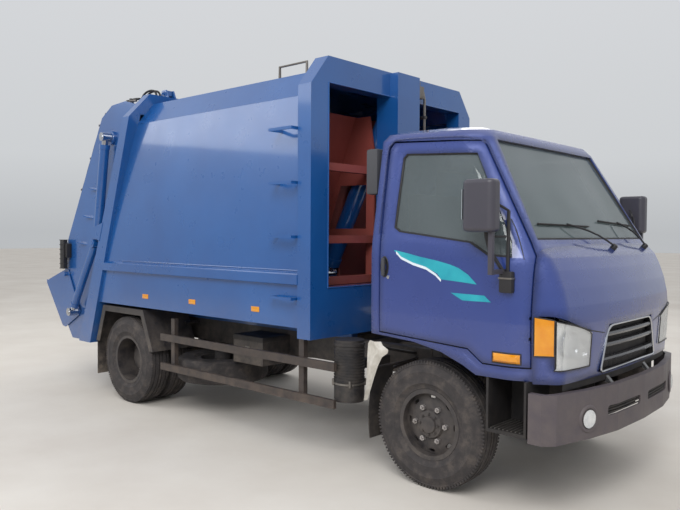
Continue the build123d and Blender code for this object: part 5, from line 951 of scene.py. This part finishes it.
# Columns of the teal films as upper (x, z) and lower (x, z)
WEDGE = ((-0.216, 1.498, -0.216, 1.494), (-0.184, 1.493, -0.160, 1.452), (-0.100, 1.478, -0.070, 1.421),
         (-0.029, 1.463, 0.029, 1.399), (0.112, 1.440, 0.114, 1.362), (0.200, 1.421, 0.142, 1.329),
         (0.262, 1.402, 0.225, 1.324), (0.327, 1.366, 0.305, 1.318), (0.386, 1.313, 0.384, 1.311))
BAR = ((0.211, 1.253, 0.292, 1.213), (0.290, 1.252, 0.355, 1.213), (0.365, 1.251, 0.420, 1.214),
       (0.438, 1.250, 0.482, 1.214))
WHITE_LINE = ((-0.200, 1.484), (-0.160, 1.450), (-0.070, 1.416), (0.029, 1.392), (0.100, 1.356),
              (0.140, 1.322))
for side, name in ((-1, "right"), (1, "left")):
    door_tree = surface_of("door_" + name, "door_glass_" + name)

    def skin(x, z, out):
        """A point on the door's outside, moved outwards."""
        place, normal = drop(door_tree, at(x, side * 1.5, z), (0, -side, 0))
        return place + normal * out

    outwards = (0, side, 0)
    centre = skin(-0.292, 1.390, 0.0)
    cup = turned(HANDLE_CUP, 36, facing(centre, outwards) @ Matrix.Diagonal((1.0, 2.0, 1.0, 1.0)))
    grip = blocks((centre + Vector((-0.012, side * 0.004, -0.058)),
                   centre + Vector((0.012, side * 0.024, 0.058))), bevel=0.006)
    lock = turned(LOCK_BARREL, 20, facing(skin(-0.262, 1.325, 0.0), outwards))
    parts = [(cup, dark_plastic), (grip, trim_grey), (lock, chrome)]
    lamp = [[skin(0.499 + 0.158 * i / 12, 0.880 + 0.050 * j / 4, 0.016 if 0 < i < 12 and 0 < j < 4 else 0.003)
             for j in range(5)] for i in range(13)]
    parts.append((sheet_mesh(lamp, 0.002), orange_lens))
    gasket = [[skin(0.494 + 0.168 * i / 12, 0.875 + 0.060 * j / 4, 0.0) for j in range(5)] for i in range(13)]
    parts.append((tube(grid_edge(gasket), 0.004, closed=True), dark_plastic))
    panel = []
    for rear, front, z in MIRROR_PANEL:
        edge = skin(front, z, 0.004)
        panel.append([edge - Vector(((front - rear) * t / 4, 0, 0)) for t in range(5)])
    parts.append((sheet_mesh(panel, 0.003), trim_grey))
    for film in (WEDGE, BAR):
        rows = []
        for x0, z0, x1, z1 in film:
            rows.append([skin(x0 + (x1 - x0) * t / 4, z0 + (z1 - z0) * t / 4, 0.0012) for t in range(5)])
        parts.append((sheet_mesh(rows, 0.0006), teal_decal))
    rows = [[skin(x, z + 0.008 * t, 0.0014) for t in (-1, 1)] for x, z in WHITE_LINE]
    parts.append((sheet_mesh(rows, 0.0006), white_decal))
    piece("door_fittings_" + name, "door_" + name, parts)


# Mirrors: silvered glass in the rear face of each plastic head.
# A bent steel strut carries the head from a foot on the door, and a stay steadies it from above.
MIRROR_GLASS = ((0.088, 0.0), (0.088, 0.004), (0.084, 0.006), (0.0, 0.006))
# Bars of the mirror as radius, whether bent, and their (x, y, z) points on the left door
MIRROR_BARS = (
    (0.011, True, ((0.570, 1.030, 1.390), (0.545, 1.045, 1.440), (0.500, 1.080, 1.520),
                   (0.492, 1.095, 1.620))),
    (0.010, False, ((0.585, 1.010, 1.390), (0.580, 0.998, 1.560), (0.560, 0.960, 1.735))),
    (0.006, False, ((0.497, 1.088, 1.590), (0.578, 0.998, 1.590))),
    (0.008, True, ((0.560, 0.960, 1.735), (0.535, 1.000, 1.765), (0.500, 1.070, 1.790))))
for side, name in ((-1, "right"), (1, "left")):
    square = Matrix.Rotation(math.radians(45), 4, "Z") @ Matrix.Diagonal((1.35, 1.35, 1.0, 1.0))
    glass = turned(MIRROR_GLASS, 4, facing(at(0.396, side * 1.1045, 1.768), (-1, 0, 0)) @ square)
    foot = blocks((at(0.545, side * 0.998, 1.275), at(0.625, side * 1.040, 1.396)), bevel=0.010)
    band = blocks((at(0.543, side * 0.998, 1.352), at(0.627, side * 1.043, 1.362)), bevel=0.002)
    parts = [(glass, mirror_glass), (foot, dark_plastic), (band, steel)]
    for radius, bent, points in MIRROR_BARS:
        bar = tube([at(x, side * y, z) for x, y, z in points], radius, smooth=bent)
        parts.append((bar, dark_plastic))
    piece("mirror_fittings_" + name, "door_" + name, parts)

# Air intake: a moulded head with louvres behind the cab's upper corner, and a slim duct down the back panel.
# Two steel bands hold the duct to the cab.
intake_head = blocks((at(-0.500, -0.955, 1.860), at(-0.404, -0.806, 2.160)), bevel=0.018)
duct = blocks((at(-0.470, -0.880, 1.102), at(-0.404, -0.806, 1.860)), bevel=0.012)
louvres = [(at(-0.503, -0.940, 1.90 + 0.026 * k), at(-0.496, -0.820, 1.91 + 0.026 * k)) for k in range(9)]
bands = [(at(-0.474, -0.886, z), at(-0.402, -0.800, z + 0.020)) for z in (1.400, 1.700)]
intake = [(intake_head, trim_grey), (duct, dark_plastic), (blocks(*louvres, bevel=0.002), dark_plastic),
          (blocks(*bands, bevel=0.003), steel)]
piece("intake_dressed", "cab", intake, slot="trim", stands_for=("snorkel",))

# Cab back and gutters: a toughened pane in black rubber closes the rear window.
# A folded gutter, painted with the cab, runs over each door and down to the screen's pillar.
GUTTER_PATH = ((-0.345, 1.60), (-0.338, 1.85), (-0.330, 2.09), (-0.318, 2.165), (-0.285, 2.200),
               (-0.200, 2.206), (0.0, 2.202), (0.18, 2.196), (0.280, 2.178), (0.330, 2.140), (0.40, 2.020),
               (0.50, 1.850))
cab_tree = surface_of("cab_shell")
pane = [at(-0.386, y, z) for y, z in ((-0.359, 1.761), (0.359, 1.761), (0.359, 2.059), (-0.359, 2.059))]
rear_glass = sheet_mesh([[pane[0], pane[1]], [pane[3], pane[2]]], 0.004)
rear_rubber = tube([p - Vector((0.008, 0, 0)) for p in pane], 0.010, closed=True)
cab_trim = [(rear_glass, side_glass), (rear_rubber, dark_plastic)]
for side in (-1, 1):
    line = []
    for x, z in GUTTER_PATH:
        place, normal = drop(cab_tree, at(x, side * 1.5, z), (0, -side, 0))
        line.append(place + normal * 0.002)
    cab_trim.append((tube(line, 0.006), cab_blue))
piece("cab_trim", "cab", cab_trim)

# Tail lamps: black plastic housings on a bracket at each side of the tailgate, looking rearwards.
# Clear, amber and red acrylic lenses stand one above the other behind a guard of seven steel bars.
TAIL_LENSES = ((1.218, lens_glass), (1.314, orange_lens), (1.410, red_lens))
for side, name in ((-1, "right"), (1, "left")):
    y0, y1 = sorted((side * 0.920, side * 0.965))
    bracket = (at(-4.664, side * 0.894, 1.325), at(-4.618, side * 0.950, 1.475))
    housing = blocks((at(-4.738, y0, 1.212), at(-4.660, y1, 1.508)), bracket, bevel=0.006)
    guard_bars = [(at(-4.752, y0, 1.206 + 0.050 * k), at(-4.655, y1 + 0.002, 1.215 + 0.050 * k))
                  for k in range(7)]
    parts = [(housing, dark_plastic), (blocks(*guard_bars, bevel=0.002), chassis_black)]
    for z, material in TAIL_LENSES:
        lens = blocks((at(-4.746, y0 + 0.006, z), at(-4.736, y1 - 0.006, z + 0.086)), bevel=0.004)
        parts.append((lens, material))
    piece("tail_lamp_dressed_" + name, "tailgate", parts, slot="tail_lamp",
          stands_for=("tail_lamps",) if side < 0 else ())

# Tailgate pipework: steel pipes and rubber hoses, clamped over the tailgate's top and down its back edge.
# Welded steel gussets stiffen its sides, and four hoses loop across the hinge to the body.
# Each run over the top as its y, radius and height above the sheet
TOP_RUNS = ((-0.800, 0.011, 0.0), (-0.765, 0.011, 0.022), (0.765, 0.011, 0.0), (0.800, 0.011, 0.022))
EDGE_HOSES = (-0.800, -0.835, -0.870)
HINGE_HOSES = (-0.74, -0.70, 0.70, 0.74)
GUSSETS = ((-4.180, 2.050, 0.13), (-4.290, 1.770, 0.12), (-4.420, 1.500, 0.12))
tail_tree = surface_of("tailgate_shell")


def clamps(places, low, high):
    """Small black blocks that hold a run at the given places."""
    return [(blocks((p + Vector(low), p + Vector(high)), bevel=0.003), chassis_black) for p in places]


def gusset_plate(x, z, size, side):
    """A three-cornered plate, 10 mm thick, that stands out of the tailgate's side."""
    corners = [at(x, side * 0.8935, z), at(x + size, side * 0.8935, z - size * 0.25),
               at(x + size * 0.2, side * 0.950, z - size * 0.05)]
    bm = bmesh.new()
    upper = [bm.verts.new(p) for p in corners]
    lower = [bm.verts.new(p - Vector((0, 0, 0.010))) for p in corners]
    bm.faces.new(upper)
    bm.faces.new(lower[::-1])
    for i in range(3):
        k = (i + 1) % 3
        bm.faces.new((upper[i], lower[i], lower[k], upper[k]))
    return from_bmesh("gusset", bm)


pipe_parts = []
for y, radius, lift in TOP_RUNS:
    run = []
    for k in range(13):
        x = -3.52 - 0.26 * k / 4 if k < 5 else -3.78 - 0.085 * (k - 4)
        place, normal = drop(tail_tree, at(x, y, 3.4), (0, 0, -1))
        run.append(place + normal * (radius + 0.012 + lift))
    pipe_parts.append((tube(run, radius, smooth=True), dark_plastic if lift else steel))
    pipe_parts += clamps(run[2::4], (-0.012, -0.020, -0.026 - lift), (0.012, 0.020, 0.014))
for y in EDGE_HOSES:
    run = []
    for k in range(8):
        place, normal = drop(tail_tree, at(-6.0, y, 2.760 - 0.105 * k), (1, 0, 0))
        run.append(place + normal * (0.018 + 0.006 * (k % 2)))
    pipe_parts.append((tube(run, 0.0105, smooth=True), dark_plastic))
    pipe_parts += clamps(run[1::3], (-0.014, -0.016, -0.010), (0.020, 0.016, 0.010))
for side in (-1, 1):
    pipe_parts += [(gusset_plate(x, z, size, side), body_blue) for x, z, size in GUSSETS]
piece("tailgate_pipes", "tailgate", pipe_parts)

for k, y in enumerate(HINGE_HOSES):
    start = drop(surface_of("rear_frame"), at(-3.262, y, 3.4), (0, 0, -1))[0]
    end = drop(tail_tree, at(-3.520, y + math.copysign(0.02, y), 3.4), (0, 0, -1))[0]
    loop = [start + Vector((0.0, 0, 0.004)), start + Vector((-0.01, 0, 0.050)),
            start.lerp(end, 0.35) + Vector((0, 0, 0.085)), start.lerp(end, 0.7) + Vector((0, 0, 0.080)),
            end + Vector((0.03, 0, 0.035)), end + Vector((0.0, 0, 0.024))]
    hose = piece("hinge_hose_%d" % (k + 1), None, [(tube(loop, 0.010, smooth=True, steps=3), dark_plastic)])
    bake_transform(hose)

# Portal fittings: a valve block on the ram's column, with a steel pipe clipped down it and a rubber hose.
# Weld beads, painted with the body, run round the two openings of the front portal.
PORTAL_FACE_X = -0.9385
WELD_RUNS = (((0.850, 1.207), (0.850, 2.680)), ((0.144, 2.680), (0.850, 2.680)),
             ((0.144, 1.207), (0.850, 1.207)))
valve_pipe = [at(-0.900, 0.205, 2.760), at(-0.900, 0.250, 2.765), at(-0.895, 0.262, 2.700),
              at(-0.895, 0.262, 1.250)]
valve_hose = [at(-0.870, -0.100, 2.150), at(-0.820, -0.130, 2.230), at(-0.810, -0.060, 2.290),
              at(-0.830, 0.020, 2.220), at(-0.862, 0.030, 2.120)]
valve = [(blocks((at(-0.935, 0.150, 2.700), at(-0.865, 0.215, 2.800)), bevel=0.006), steel),
         (blocks((at(-0.925, 0.160, 2.800), at(-0.885, 0.190, 2.846)), bevel=0.004), steel),
         (tube(valve_pipe, 0.011), steel), (tube(valve_hose, 0.009, smooth=True), dark_plastic)]
for z in (2.55, 2.10, 1.65):
    valve.append((blocks((at(-0.940, 0.245, z), at(-0.880, 0.280, z + 0.022)), bevel=0.003), chassis_black))
for side in (-1, 1):
    for ends in WELD_RUNS:
        bead = tube([at(PORTAL_FACE_X, side * y, z) for y, z in ends], 0.005)
        valve.append((bead, body_blue))
piece("portal_fittings", "chassis", valve)

# Body fittings: a bent steel hand rail on the roof, weld beads along the side rail, orange reflectors below.
# Steel cover plates close the corners between the sides and the rear frame's top.
RAIL_FEET_X = (-1.513, -1.219)
BEADS_Z = (1.226, 1.331)
REFLECTORS_X = (-1.55, -2.35, -3.05)
roof_tree = surface_of("body_roof")
foot, other_foot = [drop(roof_tree, at(x, -0.790, 3.4), (0, 0, -1))[0] for x in RAIL_FEET_X]
top_z = max(foot.z, other_foot.z) + 0.085
rail = [foot, Vector((foot.x, foot.y, top_z)), Vector((other_foot.x, other_foot.y, top_z)), other_foot]
body_parts = [(tube(rail, 0.011), steel)]
side_tree = surface_of("body_side_right", "body_side_left")


def body_skin(x, z, side):
    """A point on the outside of the body's side."""
    return drop(side_tree, at(x, side * 1.5, z), (0, -side, 0))[0]


for side in (-1, 1):
    for z in BEADS_Z:
        bead = tube([body_skin(-1.085 - 2.35 * k / 24, z, side) for k in range(25)], 0.004)
        body_parts.append((bead, body_blue))
    for x in REFLECTORS_X:
        place = body_skin(x, 1.02, side)
        lens = blocks((place + Vector((-0.045, -side * 0.003, -0.020)),
                       place + Vector((0.045, side * 0.004, 0.020))), bevel=0.002)
        body_parts.append((lens, orange_lens))
for side in (-1, 1):
    closing_plate = [[at(-3.290, side * 0.9267, 2.600), at(-3.252, side * 0.8497, 2.720)],
                     [at(-3.200, side * 0.9267, 2.600), at(-3.200, side * 0.8497, 2.720)]]
    body_parts.append((sheet_mesh(closing_plate, 0.003), body_blue))
piece("body_fittings", "chassis", body_parts)

# Chassis fittings: steel straps and a screwed cap on the fuel tank, and a moulded lid over the batteries.
# A white pressed splash bracket stands behind the wheel, by the ribbed plastic canister of the air cleaner.
# Rubber mud flaps hang from a bar, and six nuts hold the spare wheel's disc.
TANK_STRAP = ((0.425, 0.345), (0.700, 0.336), (0.870, 0.352), (0.888, 0.560), (0.870, 0.768), (0.700, 0.784),
              (0.425, 0.784))
TANK_CAP = ((0.0, 0.030), (0.036, 0.028), (0.042, 0.018), (0.042, -0.002), (0.0, -0.002))
# Rows of the splash bracket as rear edge, front edge and height
BRACKET_ROWS = ((-0.455, -0.360, 0.893), (-0.470, -0.345, 0.870), (-0.472, -0.300, 0.845),
                (-0.474, -0.305, 0.822), (-0.476, -0.352, 0.790), (-0.478, -0.385, 0.730),
                (-0.482, -0.412, 0.660), (-0.488, -0.440, 0.580), (-0.494, -0.472, 0.490))
CLEANER = Vector((AXLE_X - 0.727, -0.850, 0.0))
CLEANER_BAND = ((0.106, 0.548), (0.1115, 0.550), (0.1115, 0.562), (0.106, 0.564))
CLIP_HALF = Vector((0.009, 0.009, 0.024))
SPARE_NUT = ((0.0, 0.012), (0.014, 0.012), (0.016, 0.0), (0.016, -0.012), (0.0, -0.012))
chassis_parts = []
for x in (-1.90, -1.55, -1.20):
    chassis_parts.append((tube([at(x, y, z) for y, z in TANK_STRAP], 0.009), steel))
chassis_parts.append((turned(TANK_CAP, 28, facing(at(-1.30, 0.885, 0.68), (0, 1, 0.2))), dark_plastic))
battery_lid = blocks((at(-2.150, -0.730, 0.700), at(-1.770, -0.422, 0.745)), bevel=0.008)
latch = blocks((at(-1.990, -0.733, 0.600), at(-1.930, -0.724, 0.660)), bevel=0.004)
chassis_parts += [(battery_lid, dark_plastic), (latch, steel)]
bracket = [[at(rear, -0.955, z), at(rear * 0.35 + front * 0.65, -0.985, z), at(front, -0.955, z)]
           for rear, front, z in BRACKET_ROWS]
chassis_parts.append((sheet_mesh(bracket, 0.004), white_cast))
for z0, z1 in ((0.64, 0.70), (0.86, 0.74)):
    arm = [at(-0.465, -0.952, z0), at(-0.465, -0.700, (z0 + z1) / 2), at(-0.465, -0.425, z1)]
    chassis_parts.append((tube(arm, 0.011), chassis_black))
ribs = [(0.1045, 0.440), (0.1075, 0.444), (0.1075, 0.540), (0.1045, 0.543)]
for k in range(12):
    z = 0.575 + 0.020 * k
    ribs += [(0.1052, z - 0.004), (0.1095, z - 0.002), (0.1095, z + 0.002), (0.1052, z + 0.004)]
ribs += [(0.1045, 0.815), (0.1105, 0.820), (0.1105, 0.838), (0.1045, 0.842)]
chassis_parts.append((turned(ribs, 48, Matrix.Translation(CLEANER)), dark_plastic))
chassis_parts.append((turned(CLEANER_BAND, 48, Matrix.Translation(CLEANER), True), steel))
for k in range(4):
    angle = math.pi * (0.25 + 0.5 * k)
    place = CLEANER + Vector((0.1105 * math.cos(angle), 0.1105 * math.sin(angle), 0.560))
    chassis_parts.append((blocks((place - CLIP_HALF, place + CLIP_HALF), bevel=0.003), steel))
for side in (-1, 1):
    flap = [[at(-0.452 - 0.012 * math.sin(k * 0.6), side * (0.720 + 0.115 * j), 0.235 + 0.058 * k)
             for j in range(3)] for k in range(9)]
    chassis_parts.append((sheet_mesh(flap, 0.005), dark_plastic))
    hanger = tube([at(-0.452, side * 0.425, 0.700), at(-0.452, side * 0.955, 0.700)], 0.010)
    chassis_parts.append((hanger, chassis_black))
low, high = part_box("spare_wheel")
for k in range(6):
    angle = math.pi * k / 3
    place = Vector(((low.x + high.x) / 2 + 0.13 * math.cos(angle),
                    (low.y + high.y) / 2 + 0.13 * math.sin(angle), 0.405))
    chassis_parts.append((turned(SPARE_NUT, 6, facing(place, (0, 0, -1))), steel))
piece("chassis_fittings", "chassis", chassis_parts)

# Steps: raised steel bars, riveted across the plastic treads of the cab steps against slipping.
# There are eight on each side, 26 mm apart.
step_parts = []
for side in (-1, 1):
    bars = [(at(0.475 + 0.026 * k, side * 0.740, 0.489), at(0.483 + 0.026 * k, side * 0.990, 0.495))
            for k in range(8)]
    step_parts.append((blocks(*bars, bevel=0.001), steel))
piece("step_treads", "cab", step_parts)

# Seats: foam pads in grey cloth on a dark moulded base, a bench for two and the driver's seat on the left.
# A pressure simulation swells each pad between its seams, and PAD_CAP keeps it in its place.
PAD_CAP = 0.012
PAD_GRAIN = 0.012
SWELL_FRAMES = 12
# Label, and the right and left edge
SEAT_ROWS = (("bench", -0.770, 0.110), ("driver", 0.270, 0.730))


def foam_pad(name, low, high, turn=0.0, pivot=None):
    """A padded block that bulges; turn leans it about the Y axis through pivot."""
    bm = bmesh.new()
    add_block(bm, low, high, 0.022)
    bmesh.ops.subdivide_edges(bm, edges=bm.edges[:], cuts=2, use_grid_fill=True)
    mesh = from_bmesh(name, bm)
    if turn:
        mesh.transform(Matrix.Translation(pivot) @ Matrix.Rotation(turn, 4, "Y") @ Matrix.Translation(-pivot))
    obj = bpy.data.objects.new(name, mesh)
    bpy.context.scene.collection.objects.link(obj)
    remesh = obj.modifiers.new("remesh", "REMESH")
    remesh.mode = "VOXEL"
    remesh.voxel_size = PAD_GRAIN
    bpy.context.view_layer.update()
    ready = bpy.data.meshes.new_from_object(obj.evaluated_get(bpy.context.evaluated_depsgraph_get()))
    obj.modifiers.remove(remesh)
    old, obj.data = obj.data, ready
    bpy.data.meshes.remove(old)
    rest = [v.co.copy() for v in obj.data.vertices]
    cloth = obj.modifiers.new("cloth", "CLOTH")
    cloth.settings.use_pressure = True
    cloth.settings.uniform_pressure_force = 4
    cloth.settings.effector_weights.gravity = 0
    cloth.settings.quality = 4
    scene = bpy.context.scene
    for step in range(1, SWELL_FRAMES + 1):
        scene.frame_set(step)
    bpy.context.view_layer.update()
    swollen = bpy.data.meshes.new_from_object(obj.evaluated_get(bpy.context.evaluated_depsgraph_get()))
    obj.modifiers.remove(cloth)
    scene.frame_set(1)
    for v, start in zip(swollen.vertices, rest):
        move = v.co - start
        if move.length > PAD_CAP:
            v.co = start + move.normalized() * PAD_CAP
    old, obj.data = obj.data, swollen
    bpy.data.meshes.remove(old)
    mesh = obj.data
    bpy.data.objects.remove(obj)
    mesh.name = name
    return mesh


for label, y0, y1 in SEAT_ROWS:
    base = blocks((at(-0.240, y0 + 0.02, 0.990), at(0.180, y1 - 0.02, 1.170)), bevel=0.010)
    piece("seat_base_" + label, "cab", [(base, dark_plastic)], slot="seat_fabric",
          stands_for=("seats",) if label == "bench" else ())
    cushion = foam_pad("seat_cushion_" + label, at(-0.235, y0 + 0.018, 1.186), at(0.182, y1 - 0.018, 1.305))
    seat = finish_mesh("seat_cushion_" + label, cushion, "cab", seat_cloth, slot="seat_fabric")
    back = foam_pad("seat_back_" + label, at(-0.292, y0 + 0.018, 1.322), at(-0.178, y1 - 0.018, 1.875),
                    turn=-0.06, pivot=at(-0.250, 0, 1.300))
    seat = finish_mesh("seat_back_" + label, back, "cab", seat_cloth, slot="seat_fabric")

# Dashboard fittings: a moulded instrument hood, a radio panel and a glove box lid in grained ABS.
# Four vents with three thin bars each lie along its face.
dash = [(blocks((at(0.440, 0.330, 1.452), at(0.560, 0.640, 1.512)), bevel=0.020), dark_plastic),
        (blocks((at(0.434, -0.120, 1.300), at(0.446, 0.120, 1.400)), bevel=0.004), dark_plastic),
        (blocks((at(0.434, -0.720, 1.260), at(0.445, -0.260, 1.370)), bevel=0.005), trim_grey)]
for y in (-0.740, -0.180, 0.160, 0.700):
    vent_bars = [(at(0.436, y - 0.045, z), at(0.450, y + 0.045, z + 0.006)) for z in (1.400, 1.412, 1.424)]
    dash.append((blocks(*vent_bars, bevel=0.001), dark_plastic))
piece("dashboard_fittings", "cab", dash)

# Engine fittings: a pressed steel rocker cover, a fan and nine cast ribs down each side of the block.
# The block itself is the plain solid between them.
FAN = ((0.0, 0.040), (0.050, 0.040), (0.050, 0.010), (0.220, 0.004), (0.220, -0.004), (0.0, -0.004))
engine = [(blocks((at(-0.300, -0.150, 0.905), at(0.380, 0.150, 0.965)), bevel=0.015), steel),
          (turned(FAN, 36, facing(at(0.490, 0, 0.700), (1, 0, 0))), cast_iron)]
for k in range(9):
    x = -0.330 + 0.085 * k
    for side in (-1, 1):
        rib = blocks((at(x, side * 0.412, 0.520), at(x + 0.015, side * 0.428, 0.880)), bevel=0.003)
        engine.append((rib, cast_iron))
piece("engine_fittings", "chassis", engine)
